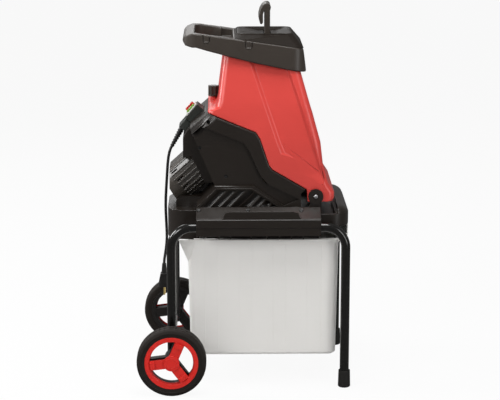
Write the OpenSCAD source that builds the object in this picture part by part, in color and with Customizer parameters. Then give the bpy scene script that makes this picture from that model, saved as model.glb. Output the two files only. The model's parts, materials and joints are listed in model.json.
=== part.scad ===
// Electric garden shredder on a tubular stand with a pull-out collection box.
// Millimetres, +Z up, origin on the floor at the middle of the footprint.
// +X is the front, where the box pulls out. -Y is the right side.

/* [Stand] */
// Outer diameter of the leg tube
tube_d = 22; // [18:0.5:26]
// Wall of the leg tube
tube_wall = 1.5; // [1:0.1:2.5]
// Length the legs stand over the box's length
leg_room = 54; // [50:1:70]
// Air between the box and a leg frame
leg_air = 11; // [8:1:16]
// Height of the horizontal tube's middle
frame_z = 397; // [390:1:430]
// Bend radius of the tube, on its middle line
bend_r = 50; // [40:1:60]
// Diameter of a foot cap
foot_d = 30; // [28:1:36]
// Height of a foot cap
foot_h = 42; // [30:1:55]
// Rubber under the tube's end
foot_floor = 6; // [4:1:10]
// Length of leg below the axle
leg_below_axle = 18; // [14:1:24]

/* [Wheels] */
// Diameter of a wheel
wheel_d = 166; // [150:2:180]
// Width of the tyre
tyre_w = 40; // [30:1:46]
// Thickness of the tyre's rubber
tyre_t = 19; // [14:1:24]
// Distance from a leg's middle to its tyre's inner face
wheel_gap = 33; // [30:1:40]
// Diameter of the axle
axle_d = 12; // [10:0.5:14]
// Diameter of the wheel's hub
hub_d = 34; // [28:1:40]
// Width of a wheel spoke
spoke_w = 24; // [16:1:30]
// Thickness of the wheel cover
cover_t = 5; // [3:0.5:8]

/* [Deck] */
// Height of the deck's skirt at the sides
deck_h = 45; // [40:1:60]
// Thickness of the deck's plate
deck_t = 6; // [4:0.5:10]
// Wall of the deck's skirt
deck_wall = 4; // [3:0.5:6]
// Overhang of the deck past the legs' middles
deck_over = 10; // [6:1:14]
// Half width of the deck's rounded ends
deck_end_y = 105; // [90:1:120]
// Thickness of the wings that rest on the tubes
wing_t = 4; // [3:0.5:8]
// Thickness of a side panel
panel_t = 4; // [3:0.5:6]

/* [Collection box] */
// Length of the box
box_len = 362; // [320:1:364]
// Half width of the box
box_y = 150; // [140:1:154]
// Height of the box
box_h = 290; // [240:1:300]
// Wall of the box
box_wall = 3; // [2:0.5:5]
// Air between the box's rim and the deck's skirt
box_gap = 17; // [10:1:30]
// Inward slope of the walls, over the whole height
box_draft = 5; // [2:1:8]
// Width of the inturned rim that runs on the rails
rim_w = 13; // [10:1:18]
// Thickness of the inturned rim
rim_t = 4; // [3:0.5:6]
// Thickness of a rail's lip
rail_t = 7; // [5:0.5:9]

/* [Housing] */
// Half width of the housing
housing_y = 142; // [136:1:146]
// Depth of the sunk side faces
sunk_d = 8; // [4:0.5:10]
// Wall of the housing
housing_wall = 3; // [2:0.5:5]
// Half width of the motor hood
hood_y = 75; // [70:1:90]
// Width of a louvre slot
louvre_w = 12; // [6:0.5:13]
// Spacing of the louvre slots
louvre_pitch = 23; // [20:0.5:30]
// Diameter of the hinge lugs
lug_d = 36; // [30:1:42]
// Thickness of the hinge lugs
lug_t = 7.5; // [6:0.5:12]
// Diameter of the hinge pins
hinge_pin_d = 10; // [8:0.5:12]

/* [Hopper] */
// Wall of the hopper
hopper_wall = 6; // [5:0.5:8]
// Depth of the sunk front corner of the hopper's sides
crease_d = 7; // [3:0.5:8]
// Seam between the hopper and the housing
seam = 0.8; // [0.5:0.1:2]
// Half width of the collar
collar_y = 116; // [112:1:130]
// Wall of the collar
collar_wall = 4; // [3:0.5:6]
// Width of the carrying handle's bars
handle_w = 20; // [14:1:26]
// Half width of the funnel's rim
funnel_rim_y = 79; // [70:1:90]
// Thickness of the pusher's post
pusher_t = 13; // [10:0.5:16]
// Half width of the pusher
pusher_y = 32; // [24:1:38]
// Gap all round the pusher in its slot
pusher_gap = 0.6; // [0.4:0.1:2]
// Half length of the feed slot
feed_slot_y = 62; // [45:1:66]
// Diameter of the locking knob
knob_d = 27; // [24:1:28]
// Height of the locking knob
knob_h = 25; // [18:1:30]
// Diameter of the locking screw
lock_screw_d = 8; // [6:0.5:9]

/* [Drive] */
// Angle of the drive axis above the level
drive_tilt = 42; // [40:1:44]
// Diameter of the cutting disc
disc_d = 160; // [140:2:166]
// Thickness of the cutting disc
disc_t = 6; // [4:0.5:8]
// Thickness of a knife
knife_t = 5; // [3:0.5:6]
// Width of a knife
knife_w = 34; // [24:1:40]
// Diameter of the spindle
spindle_d = 15; // [12:0.5:17]
// Module of the gears
gear_m = 1.5; // [1.25:0.05:1.6]
// Teeth of the motor's pinion
pinion_z = 12; // [12:1:14]
// Teeth of the drive gear
gear_z = 48; // [46:1:50]
// Thickness of the drive gear
gear_t = 12; // [8:0.5:13]
// Backlash of the gears, along the pitch circle
backlash = 0.4; // [0.3:0.05:0.6]
// Radius of the motor cover
motor_r = 57; // [55:0.5:60]
// Wall of the motor cover
motor_wall = 2.5; // [2:0.25:4]
// Height of the motor cover's flat top above the motor axis
motor_flat = 38; // [37:0.5:42]
// Diameter of the motor shaft
shaft_d = 8; // [7:0.5:9]
// Radius of the armature
armature_r = 23; // [20:0.5:25]
// Air gap round the armature
air_gap = 0.7; // [0.4:0.1:1.2]
// Length of the stator's stack
stack_len = 42; // [36:1:44]

/* [Switch] */
// Length of the switch box along the slope
switch_len = 44; // [40:1:50]
// Half width of the switch box
switch_y = 27; // [25:1:34]
// Height of the switch box
switch_h = 25; // [20:1:28]
// Length of the inlet block below the switch box
inlet_len = 27; // [22:1:32]
// Travel of a button
button_travel = 3; // [2:0.5:4]
// Length of a button along the slope
button_len = 24; // [18:1:28]
// Width of a button
button_w = 15; // [12:1:17]
// Length of the strain relief
relief_len = 55; // [30:1:60]
// Diameter of the mains cord
cord_d = 7; // [6:0.5:8]

/* [Hidden] */
$fn = 64;

// Clearances
run = 0.05;
slip = 0.3;
touch = 0.1;

// Stand
tube_r = tube_d / 2;
leg_span = box_len + leg_room;
leg_y = box_y + leg_air + tube_r;
wheel_y = leg_y + wheel_gap;
front_x = (leg_span + wheel_d / 2 - foot_d / 2) / 2;
axle_x = front_x - leg_span;
axle_z = wheel_d / 2;
axle_r = axle_d / 2;
rear_bend_x = axle_x + bend_r;
front_bend_x = front_x - bend_r;
bend_z = frame_z - bend_r;
wing_z = frame_z + tube_r;
hub_in = leg_y + tube_r + slip;
wheel_out = wheel_y + tyre_w;
axle_end = wheel_out - 2;
rim_r = wheel_d / 2 - tyre_t;

// Deck: its top carries everything above it
deck_z = wing_z + 16;
deck_low = deck_z - deck_h;
deck_rear = deck_over - axle_x;
deck_front = front_x + deck_over;
rear_skirt_h = 72;
nose_skirt_h = 32;
wing_x0 = rear_bend_x + 22;
wing_x1 = front_bend_x - 18;
wing_y = leg_y + tube_r + 2;
panel_y = wing_y + panel_t;
deck_mid_y = housing_y + slip + lug_t + 2 * touch;

// Hinge, measured from the deck
hinge_x = 171;
hinge_z = deck_z + 42;
pin_r = hinge_pin_d / 2;
trough_r = 55;
trough_floor = 3;
trough_y = housing_y + slip;

// Box
box_front_gap = 15;
box_x1 = front_x - box_front_gap;
box_x0 = box_x1 - box_len;
box_top = deck_low - box_gap;
box_low = box_top - box_h;
rail_in = box_y - box_wall - rim_w - 6;
rail_top = box_top - rim_t - slip;

// Side outline of the seam between hopper and housing, as x and height over the deck
SEAM = [[-85, 240], [-73, 236], [-32, 219], [28, 195], [38, 180], [60, 116], [67, 106], [150, 57]];
// Housing outline below the seam
HOUSING = concat([[152, 20], [152, 0], [-112, 0], [-112, 17], [-67, 60], [-128, 203]],
  SEAM);
HOOD = [[-92, 236], [-137, 186], [-146, 171], [-146, 122], [-126, 128], [-94, 62], [-70, 62], [-60, 200]];
SUNK = [[-126, 188], [-101, 210], [-1, 169], [12, 149], [38, 90], [50, 75], [132, 34],
  [96, 18], [22, 68], [-58, 68], [-80, 68], [-130, 175]];
LOUVRE = [[-104, 16], [-64, 56], [18, 56], [80, 16]];
PEDESTAL = [[-164, 0], [-164, 16], [-152, 26], [-100, 26], [-100, 0]];
MOTOR_END = [[-180, 43], [-160, 10], [0, 10], [0, 240], [-180, 240]];
// Sunk panel of the hopper's sides: height over the deck, rear x, front x, width of the rear and front
// slopes, depth
CREASE = [[70, 181, 193, 7, 5, crease_d / 7], [80, 165, 192, 20, 6, crease_d * 0.42],
  [90, 148, 190.5, 35, 6, crease_d * 0.7], [99, 133.5, 187.5, 47, 6, crease_d],
  [110, 115, 184, 48, 6, crease_d], [119, 100, 181, 46, 6, crease_d],
  [124, 92.5, 179.5, 45, 6, crease_d], [135, 90.5, 176.5, 27, 6, crease_d],
  [146, 87.5, 172.5, 9.5, 6, crease_d], [171, 78.5, 164, 8, 6, crease_d],
  [240, 55, 142, 8, 6, crease_d], [268, 45.5, 133, 8, 6, crease_d], [372, 10, 97, 8, 6, crease_d]];

// Hopper sections: height over the deck, rear x, front x, half width
HOPPER = [[28, -88, 212, 0], [36, -88, 216, 0], [50, -88, 216, 0], [73, -88, 201, 0], [121, -88, 188, 0],
  [171, -88, 182, 0], [240, -86, 163, -9], [245, -85, 161.4, -9.8], [248, -82, 160.5, -10.3],
  [250, -75, 159.8, -10.6], [252, -69, 159.2, -10.9], [257, -64.5, 157.6, -11.7], [268, -61, 154.3, -14],
  [410, -43, 114, -49]];
hopper_corner = 16;

// Collar and funnel
collar_plate = 5;
collar_slope = 22 / 152;
collar_in_x = -48.5;
COLLAR = [[-145, 408], [-143, 417], [-136, 423], [-122, 427], [-104, 426], [-20, 414], [132, 392], [142,
  386],
  [149, 334], [111, 340], [29, 357], [-44, 375], [-89, 387], [-112, 394], [-122, 394], [-138, 398]];
collar_x0 = -145;
collar_x1 = 149;
handle_hole_x0 = -116;
handle_hole_x1 = collar_in_x - 3.5;
mouth_x0 = -16;
mouth_x1 = 116;
funnel_x0 = -17;
funnel_x1 = 118;
funnel_z = deck_z + 423;
pusher_x = 58;
pusher_low = deck_z + 270;
pusher_top = deck_z + 490;

// Knob
knob_x = -72;
niche_r = knob_d / 2 + 1.5;
niche_h = 40;
boss_top = deck_z + 262;
lock_r = lock_screw_d / 2;
lock_tip = deck_z + 231;

// Drive: the local z axis runs along the spindle, the origin is under the disc's top
disc_x = -8;
disc_z = deck_z + 133;
centre_dist = gear_m * (pinion_z + gear_z) / 2;
disc_r = disc_d / 2;
ring_r = disc_r + 4;
ring_t = 8;
spindle_r = spindle_d / 2;
bearing_w = 11;
bearing_r = spindle_r + 10;
plate_t = 8;
plate_z = -40;
motor_plate_z = -74;
gear_low = -58;
fan_low = -84;
fan_t = 7;
stack_top = -92;
stack_low = stack_top - stack_len;
end_turn = 7;
comm_low = stack_low - end_turn - 15;
comm_len = 13;
comm_r = 11;
small_bearing_r = 11;
small_bearing_w = 7;
rear_bearing_low = comm_low - 10;
shaft_r = shaft_d / 2;
flat_in = motor_flat - motor_wall - slip;
brush_half = 4;

// Switch, on the sloping face of the housing
switch_tilt = -49;
switch_sink = 4.5;
switch_x = -112 - switch_sink * sin(switch_tilt);
switch_z = deck_z + 214 - switch_sink * cos(switch_tilt);
switch_low = -20;
bezel_t = 3;

// Cord in the middle plane: x and height over the deck, hung clear of the deck's rear end
CORD_ROUTE = [[-173.1, 141], [-177.8, 132.5], [-181, 123], [-183.5, 111], [-185.5, 94], [-187, 73],
  [-188.5, 51], [-190, 29], [-191, 11], [-191.5, -8], [-191.5, -24], [-191, -38], [-190, -64],
  [-189.5, -79], [-189.5, -94], [-190.5, -108], [-192, -121], [-194, -134], [-196, -146], [-197, -158]];
cord_shift = 184 - deck_rear;
cord_fall = 100;
CORD = [for (p = CORD_ROUTE)
  [p[0] + cord_shift * min(1, (CORD_ROUTE[0][1] - p[1]) / cord_fall), deck_z + p[1]]];
cord_r = cord_d / 2;
cord_sides = 10;
plug_top = CORD[len(CORD) - 1];
plug_len = 60;

// Points of an arc
function arc(c, r, a0, a1, n = 5) =
  [for (i = [0:n]) let (a = a0 + (a1 - a0) * i / n) [c[0] + r * cos(a), c[1] + r * sin(a)]];
// Rectangle with round corners
function round_rect(x0, x1, y0, y1, r) = concat(
  arc([x1 - r, y1 - r], r, 0, 90), arc([x0 + r, y1 - r], r, 90, 180),
  arc([x0 + r, y0 + r], r, 180, 270), arc([x1 - r, y0 + r], r, 270, 360));
// Outline raised by a height
function lift(points, dz) = [for (p = points) [p[0], p[1] + dz]];
// Meeting point of two lines, each a point and a direction
function meet(p, u, q, v) =
  let (k = ((q[0] - p[0]) * v[1] - (q[1] - p[1]) * v[0]) / (u[0] * v[1] - u[1] * v[0])) p + k * u;
// Outline with every edge moved to its left by d
function inset(points, d) =
  let (n = len(points))
  [for (i = [0:n - 1])
    let (a = points[(i + n - 1) % n], b = points[i], c = points[(i + 1) % n],
      u = (b - a) / norm(b - a), v = (c - b) / norm(c - b))
    meet(b + d * [-u[1], u[0]], u, b + d * [-v[1], v[0]], v)];
// Outline turned the other way round
function flip(points) = [for (i = [len(points) - 1:-1:0]) points[i]];

// Outline in x and z, extruded along y
module slab(points, y0, y1) {
  translate([0, y1, 0]) rotate([90, 0, 0]) linear_extrude(y1 - y0) polygon(points);
}
// Closed solid through rings of points
module loft(rings) {
  n = len(rings[0]);
  m = len(rings);
  points = [for (ring = rings) each ring];
  sides = [for (j = [0:m - 2]) for (i = [0:n - 1])
    let (a = j * n + i, b = j * n + (i + 1) % n) each [[a, b + n, b], [a, a + n, b + n]]];
  low = [for (i = [1:n - 2]) [0, i, i + 1]];
  high = [for (i = [1:n - 2]) [(m - 1) * n, (m - 1) * n + i + 1, (m - 1) * n + i]];
  polyhedron(points, concat(sides, low, high));
}
module both_sides() {
  children();
  mirror([0, 1, 0]) children();
}
// Places its children on the spindle
module on_spindle() {
  translate([disc_x, 0, disc_z]) rotate([0, 90 - drive_tilt, 0]) children();
}
module on_motor() {
  on_spindle() translate([-centre_dist, 0, 0]) children();
}
module ring(r_out, r_in, h) {
  difference() {
    cylinder(r = r_out, h = h);
    translate([0, 0, -1]) cylinder(r = r_in, h = h + 2);
  }
}
module on_switch() {
  translate([switch_x, 0, switch_z]) rotate([0, switch_tilt, 0]) children();
}

// Stand
module tube_section() {
  difference() {
    circle(r = tube_r);
    circle(r = tube_r - tube_wall);
  }
}
module leg_frame() {
  difference() {
    translate([0, -leg_y, 0]) {
      translate([axle_x, 0, axle_z - leg_below_axle])
        linear_extrude(bend_z - axle_z + leg_below_axle) tube_section();
      translate([rear_bend_x, 0, bend_z]) rotate([90, 0, 0]) rotate([0, 0, 90])
        rotate_extrude(angle = 90) translate([bend_r, 0]) tube_section();
      translate([rear_bend_x, 0, frame_z]) rotate([0, 90, 0])
        linear_extrude(front_bend_x - rear_bend_x) tube_section();
      translate([front_bend_x, 0, bend_z]) rotate([90, 0, 0])
        rotate_extrude(angle = 90) translate([bend_r, 0]) tube_section();
      translate([front_x, 0, foot_floor]) linear_extrude(bend_z - foot_floor) tube_section();
    }
    translate([axle_x, 0, axle_z]) rotate([90, 0, 0]) cylinder(r = axle_r + run, h = 2 * leg_y);
    for (x = bolt_xs) translate([x, -leg_y, frame_z])
      cylinder(r = bolt_r + run, h = 2 * tube_d, center = true);
  }
}
bolt_xs = [wing_x0 + 20, wing_x1 - 20];
bolt_r = 3;
bolt_head_r = 6;
bolt_head_t = 4;
module right_leg_frame() { color("#141414") leg_frame(); }
module left_leg_frame() { color("#141414") mirror([0, 1, 0]) leg_frame(); }
module foot_caps() {
  color("#1d1b1a") both_sides() translate([front_x, -leg_y, 0]) difference() {
    rotate_extrude() polygon([[0, 0], [foot_d / 2 - 2, 0], [foot_d / 2, 2], [foot_d / 2 - 1, foot_h],
      [0, foot_h]]);
    translate([0, 0, foot_floor]) cylinder(r = tube_r + run, h = foot_h);
  }
}
module axle() {
  color("#9a9c9e") translate([axle_x, axle_end, axle_z]) rotate([90, 0, 0])
    cylinder(r = axle_r, h = 2 * axle_end);
}
retainer_t = 2;
module axle_retainers() {
  color("#b5b7b9") both_sides() translate([axle_x, -hub_out - touch, axle_z]) rotate([90, 0, 0])
    ring(axle_r + 5, axle_r + run, retainer_t);
}
hub_out = wheel_out - 7;

// Wheels, made along z from the inner face and then turned outwards
module on_axle() {
  translate([axle_x, -wheel_y, axle_z]) rotate([90, 0, 0]) children();
}
tyre_round = 8;
module tyre() {
  r = wheel_d / 2;
  rotate_extrude($fn = 96) polygon(concat([[rim_r + run, 0], [r - tyre_round, 0]],
    arc([r - tyre_round, tyre_round], tyre_round, -80, 0),
      arc([r - tyre_round, tyre_w - tyre_round], tyre_round, 0, 80),
    [[r - tyre_round, tyre_w], [rim_r + run, tyre_w]]));
}
core_t = 30;
rim_wall = 10;
spoke_angles = [67, 187, 307];
module spokes(w, r_out, h) {
  for (a = spoke_angles) rotate([0, 0, a]) translate([0, -w / 2, 0]) cube([r_out, w, h]);
}
module wheel_core() {
  difference() {
    union() {
      ring(rim_r, rim_r - rim_wall, tyre_w - cover_t);
      translate([0, 0, hub_in - wheel_y]) cylinder(r = hub_d / 2, h = hub_out - hub_in);
      translate([0, 0, (tyre_w - core_t) / 2 - 4]) spokes(spoke_w, rim_r - rim_wall / 2, core_t - 10);
    }
    translate([0, 0, -60]) cylinder(r = axle_r + run, h = 160);
  }
}
// The cover's spokes have a raised pad near the rim
pad_t = 3;
cover_bore = axle_r + 7;
module wheel_cover() {
  translate([0, 0, tyre_w - cover_t]) difference() {
    union() {
      ring(rim_r, rim_r - rim_wall, cover_t);
      cylinder(r = hub_d / 2 + 2, h = cover_t + 2);
      for (a = spoke_angles) rotate([0, 0, a]) {
        translate([cover_bore + 0.5, -spoke_w / 2, 0.4])
          cube([rim_r - rim_wall / 2 - cover_bore, spoke_w, cover_t - 2]);
        translate([rim_r - rim_wall - 14, -spoke_w / 2 + 3, 1])
          cube([11, spoke_w - 6, cover_t + pad_t - 1]);
      }
    }
    translate([0, 0, -1]) cylinder(r = cover_bore, h = cover_t + 1);
  }
}
module right_tyre() { color("#33302e") on_axle() tyre(); }
module left_tyre() { color("#33302e") mirror([0, 1, 0]) on_axle() tyre(); }
module right_wheel_core() { color("#1e1c1b") on_axle() wheel_core(); }
module left_wheel_core() { color("#1e1c1b") mirror([0, 1, 0]) on_axle() wheel_core(); }
module right_wheel_cover() { color("#d8362f") on_axle() wheel_cover(); }
module left_wheel_cover() { color("#d8362f") mirror([0, 1, 0]) on_axle() wheel_cover(); }

// Deck
deck_corner = 45;
DECK = concat(
  arc([deck_front - deck_corner, deck_mid_y - deck_corner], deck_corner, 0, 90),
  [[-104, deck_mid_y], [-114, deck_end_y]],
  arc([deck_corner - deck_rear, deck_end_y - deck_corner], deck_corner, 90, 180),
  arc([deck_corner - deck_rear, deck_corner - deck_end_y], deck_corner, 180, 270),
  [[-114, -deck_end_y], [-104, -deck_mid_y]],
  arc([deck_front - deck_corner, deck_corner - deck_mid_y], deck_corner, 270, 360));
rail_web_x0 = -98;
rail_web_x1 = 180;
chip_x0 = -70;
chip_x1 = 100;
chip_y = 118;
trough_x0 = hinge_x - trough_r;
trough_x1 = hinge_x + trough_r - 8;
trough_low = hinge_z - trough_r - trough_floor;
// Nose that covers the hopper's tail from the front
nose_x = hinge_x + trough_r - 0.5;
nose_len = deck_front - nose_x;
// Rounded front of the nose, seen from above
NOSE_PLAN = concat([[nose_x - 1, deck_mid_y - 30], [nose_x - 1, 30 - deck_mid_y]],
  [for (a = [-75:15:75]) [nose_x + (nose_len + 1) * cos(a) - 1, (deck_mid_y - 30) * sin(a)]]);
NOSE = [[nose_x, -2], [nose_x, 15], [nose_x + 0.11 * nose_len, 15], [nose_x + 0.585 * nose_len, 9],
  [nose_x + 0.925 * nose_len, -2]];
module deck_ring(z0, z1) {
  translate([0, 0, z0]) linear_extrude(z1 - z0) difference() {
    polygon(DECK);
    polygon(inset(DECK, deck_wall));
  }
}
module block(x0, x1, y0, y1, z0, z1) {
  translate([x0, y0, z0]) cube([x1 - x0, y1 - y0, z1 - z0]);
}
module deck() {
  color("#262322") difference() {
    union() {
      translate([0, 0, deck_z - deck_t]) linear_extrude(deck_t) polygon(DECK);
      deck_ring(deck_z - nose_skirt_h, deck_z - deck_t);
      intersection() {
        deck_ring(deck_z - rear_skirt_h, deck_z - nose_skirt_h);
        block(-deck_rear, -100, -deck_end_y - 9, deck_end_y + 9, 0, deck_z);
      }
      intersection() {
        deck_ring(deck_low, deck_z - nose_skirt_h);
        block(-101, 188, -200, 200, 0, deck_z);
      }
      both_sides() {
        block(wing_x0, wing_x1, -wing_y, -deck_mid_y + 1, wing_z, wing_z + wing_t);
        block(rail_web_x0, rail_web_x1, -rail_in, -rail_in + 4, rail_top - rail_t, deck_z - deck_t + 1);
        block(box_x0 + 12, box_x1 - 12, -rail_in - 14, -rail_in + 4, rail_top - rail_t, rail_top);
      }
      block(trough_x0 - deck_wall, trough_x1 + deck_wall, -trough_y - deck_wall, trough_y + deck_wall,
        trough_low, deck_z - deck_t + 1);
      intersection() {
        slab(lift(NOSE, deck_z), -deck_mid_y, deck_mid_y);
        translate([0, 0, deck_low]) linear_extrude(deck_h + 60) polygon(NOSE_PLAN);
      }
    }
    block(chip_x0, chip_x1, -chip_y, chip_y, 0, deck_z + 1);
    block(trough_x0, trough_x1, -trough_y, trough_y, trough_low + trough_floor, deck_z + 1);
    both_sides() for (x = bolt_xs) translate([x, -leg_y, 0]) cylinder(r = bolt_r + run, h = deck_z);
  }
}
module frame_bolts() {
  color("#8f9194") both_sides() for (x = bolt_xs) translate([x, -leg_y, wing_z + wing_t]) {
    cylinder(r = bolt_head_r, h = bolt_head_t);
    translate([0, 0, -wing_t - tube_d - 3]) cylinder(r = bolt_r, h = wing_t + tube_d + 4);
  }
}

// Side panels: a wall outside the tube and a shoulder up to the housing
panel_x0 = wing_x0 - 12;
panel_x1 = wing_x1 + 8;
shoulder_h = 18;
ridge_z = deck_z - 3;
panel_low = deck_low;
rib_xs = [-60, -32, 16, 54, 84, 112, 140];
rib_h = 8;
panel_in = deck_mid_y + touch;
module side_panel() {
  ps = [[-panel_in, deck_z + shoulder_h], [-panel_y, ridge_z], [-panel_y, panel_low],
    [-panel_y + panel_t, panel_low], [-panel_y + panel_t, ridge_z - panel_t],
    [-panel_in - panel_t, deck_z + shoulder_h - 2 * panel_t],
    [-panel_in - panel_t, wing_z + wing_t + touch], [-panel_in, wing_z + wing_t + touch]];
  difference() {
    union() {
      translate([panel_x0, 0, 0]) rotate([90, 0, 90]) linear_extrude(panel_x1 - panel_x0) polygon(ps);
      slab([[-52, ridge_z - 2], [-46, deck_z + 11], [-34, deck_z + 15], [116, deck_z + 15],
        [128, deck_z + 11], [134, ridge_z - 2]], -panel_y, -panel_y + panel_t);
      block(panel_x0 + 1, panel_x1 - 1, -panel_y - 2, -panel_y + 1, deck_low + 20, ridge_z - 2);
      for (x = rib_xs) block(x - 1, x + 1, -panel_y + 1, -panel_y + panel_t + 5, panel_low - rib_h,
        panel_low + 6);
      for (x = [panel_x0, panel_x1 - panel_t])
        block(x, x + panel_t, -panel_y, -panel_in, wing_z + wing_t + touch, ridge_z);
    }
    for (x = panel_screw_xs) translate([x, -panel_in - 12, 0]) {
      cylinder(r = panel_screw_r + run, h = 900);
      translate([0, 0, panel_screw_z + 0.4]) cylinder(r = panel_screw_r + 2 + slip, h = 20);
    }
  }
}
panel_screw_xs = [panel_x0 + 6, (panel_x0 + panel_x1) / 2 - 25, panel_x1 - 46];
panel_screw_r = 2.5;
panel_screw_z = deck_z + shoulder_h - 5.6;
module right_side_panel() { color("#2b2726") side_panel(); }
module left_side_panel() { color("#2b2726") mirror([0, 1, 0]) side_panel(); }
module panel_screws() {
  color("#b9bbbd") both_sides() for (x = panel_screw_xs)
    translate([x, -panel_in - 12, panel_screw_z - 8]) {
      cylinder(r = panel_screw_r, h = 9);
      translate([0, 0, 8.5]) cylinder(r = panel_screw_r + 2, h = 3);
    }
}

// Collection box
box_corner = 14;
function box_ring(z, out, y_out) = [for (p = round_rect(box_x0 + out, box_x1 - out, -box_y + y_out,
  box_y - y_out,
  box_corner)) [p[0], p[1], z]];
box_rear_drop = rim_t + rail_t + 5;
module collection_box() {
  color([0.86, 0.85, 0.83, 0.75]) difference() {
    union() {
      difference() {
        union() {
          loft([box_ring(box_low, box_draft + 6, box_draft + 6),
            box_ring(box_low + 6, box_draft, box_draft),
            box_ring(box_top, 0, 0)]);
          slab([[box_x1 - 8, box_top - 26], [box_x1 + 4, box_top - 16], [box_x1 + 25, box_top],
            [box_x1 + 25, box_top + 28], [box_x1 + 22, box_top + 28], [box_x1 + 22, box_top + 4],
              [box_x1 - 8, box_top]],
            -deck_end_y, deck_end_y);
          both_sides() slab([[box_x0 + 2, box_top - 56], [box_x0 - 22, box_top], [box_x0 + 16, box_top]],
            -box_y, -box_y + 3);
        }
        loft([box_ring(box_low + box_wall, box_draft + 8, box_draft + 8),
          box_ring(box_low + 9, box_draft + box_wall, box_draft + box_wall),
            box_ring(box_top + 1, box_wall, box_wall)]);
        slab([[box_x1 - 9, box_top - 22], [box_x1 + 3, box_top - 12], [box_x1 + 22, box_top + 2],
          [box_x1 + 22, box_top + 9],
          [box_x1 - 9, box_top + 9]], -deck_end_y + box_wall, deck_end_y - box_wall);
      }
      both_sides() block(box_x0 + box_corner, box_x1 - 4, -box_y + 1, -box_y + box_wall + rim_w,
        box_top - rim_t, box_top);
    }
    block(box_x0 - 1, box_x0 + box_corner + 1, -box_y + 3, box_y - 3, box_top - box_rear_drop, box_top + 1);
  }
}

// Housing
panel_face = housing_y - sunk_d;
cavity_y = panel_face - housing_wall;
hole_pts = [[-84, 221], [-105, 158], [-43, 89]];
screw_r = 2.5;
screw_head_r = 4.5;
screw_head_t = 2.5;
screw_seat = panel_face - 5;
screw_boss_r = 7.5;
module motor_form(r, flat, z0, z1) {
  on_motor() intersection() {
    translate([0, 0, z0]) cylinder(r = r, h = z1 - z0);
    translate([-flat, -100, z0 - 1]) cube([300, 200, z1 - z0 + 2]);
  }
}
lock_slot = 6;
// The lug's neck stands back from its round face
neck_back = 3;
// The walls round the switch's seat reach up to the sloping face
seat_rise = 5;
louvre_back = 2.5;
lip_proud = 2;
module housing() {
  difference() {
    union() {
      housing_shell();
      on_switch() translate([switch_low - inlet_len + 4, -switch_y - 6, -housing_wall])
        cube([switch_len + inlet_len - 3, switch_y + 6, housing_wall + seat_rise]);
    }
    on_switch() translate([switch_low - inlet_len - 5, -switch_y - 1, 0])
      cube([switch_len + inlet_len + 6, 2 * switch_y, 60]);
  }
}
// The side faces bend round towards the sloping face that carries the switch
rear_bend = 30;
// The bend meets the flat faces at a slight angle
bend_bite = 0.6;
bend_fill = 31;
module rear_slope() {
  translate([HOUSING[5][0], 0, deck_z + HOUSING[5][1]])
    rotate([0, atan2(SEAM[0][0] - HOUSING[5][0], SEAM[0][1] - HOUSING[5][1]), 0]) children();
}
module bend_cut(r) {
  rear_slope() difference() {
    translate([-20, -housing_y - 30, -60]) cube([rear_bend + 20, rear_bend + 30, 160]);
    translate([rear_bend, rear_bend - housing_y, -61]) cylinder(r = r + bend_bite, h = 162);
  }
}
module housing_shell() {
  difference() {
    union() {
      slab(lift(HOUSING, deck_z), -housing_y, 0);
      slab(lift(HOOD, deck_z), -hood_y, 0);
      slab(lift(PEDESTAL, deck_z), -hood_y + 10, 0);
      // Hinge lug outside the hopper's ear, with its neck
      translate([hinge_x, -housing_y - slip, hinge_z]) rotate([90, 0, 0]) cylinder(d = lug_d, h = lug_t);
      slab(lift([[112, 0], [112, 10], [148, 10], [hinge_x - 14, 20], [hinge_x - 12, 42],
        [hinge_x + 12, 42], [hinge_x + 15, 0]], deck_z),
        -housing_y - slip - lug_t + neck_back, -housing_y - slip);
      block(112, trough_x0 + 20, -housing_y - slip - 1, -housing_y + 6, deck_z, deck_z + 16);
      louvre_lip();
    }
    difference() {
      slab(lift(inset(flip(HOUSING), housing_wall), deck_z), -cavity_y, 1);
      // Bosses behind the sunk screw heads
      for (p = hole_pts) translate([p[0], -screw_seat + 3.5, deck_z + p[1]]) rotate([90, 0, 0])
        cylinder(r = screw_boss_r, h = 20);
      rear_slope() translate([0, 0, -60]) linear_extrude(160)
        polygon([[2, 2 - panel_face], [bend_fill, 2 - panel_face], [2, 2 + bend_fill - panel_face]]);
    }
    slab(lift(inset(HOOD, housing_wall), deck_z), -hood_y + housing_wall, 1);
    // Open top towards the hopper, apart from the shelf under the locking knob
    slab(lift([[-60, 205], [-60, 260], [100, 260], [148, 80], [142, 40], [60, 90], [30, 170]], deck_z),
      -cavity_y, 1);
    // Open foot over the deck's chip opening
    slab(lift([[-104, -1], [-104, 8], [144, 8], [144, -1]], deck_z), -cavity_y, 1);
    // Room for the hopper's tail
    slab(lift([[trough_x0 + 20, 0], [trough_x0 + 20, 48], [148, 60], [200, 60], [200, 0]], deck_z),
      -housing_y - slip, 1);
    slab(lift(SUNK, deck_z), -housing_y - 30, -panel_face);
    bend_cut(rear_bend);
    intersection() {
      slab(lift(SUNK, deck_z), -housing_y - 30, -housing_y + rear_bend + 10);
      bend_cut(rear_bend - sunk_d);
    }
    motor_form(motor_r + slip, motor_flat + slip, -260, motor_plate_z);
    motor_form(motor_r + rib_proud + slip, motor_flat + slip, -260, rib_top + slip);
    louvres();
    for (p = hole_pts) translate([p[0], 0, deck_z + p[1]]) rotate([90, 0, 0]) {
      cylinder(r = screw_r + run, h = 200);
      translate([0, 0, screw_seat]) cylinder(r = screw_head_r + run, h = 60);
    }
    translate([hinge_x, 0, hinge_z]) rotate([90, 0, 0]) cylinder(r = pin_r + run, h = 200);
    translate([knob_x, 0, 0]) {
      cylinder(r = lock_r + 1, h = 900);
      translate([0, -lock_r - 1, 0]) cube([lock_slot, 2 * lock_r + 2, 900]);
    }
  }
}
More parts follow.
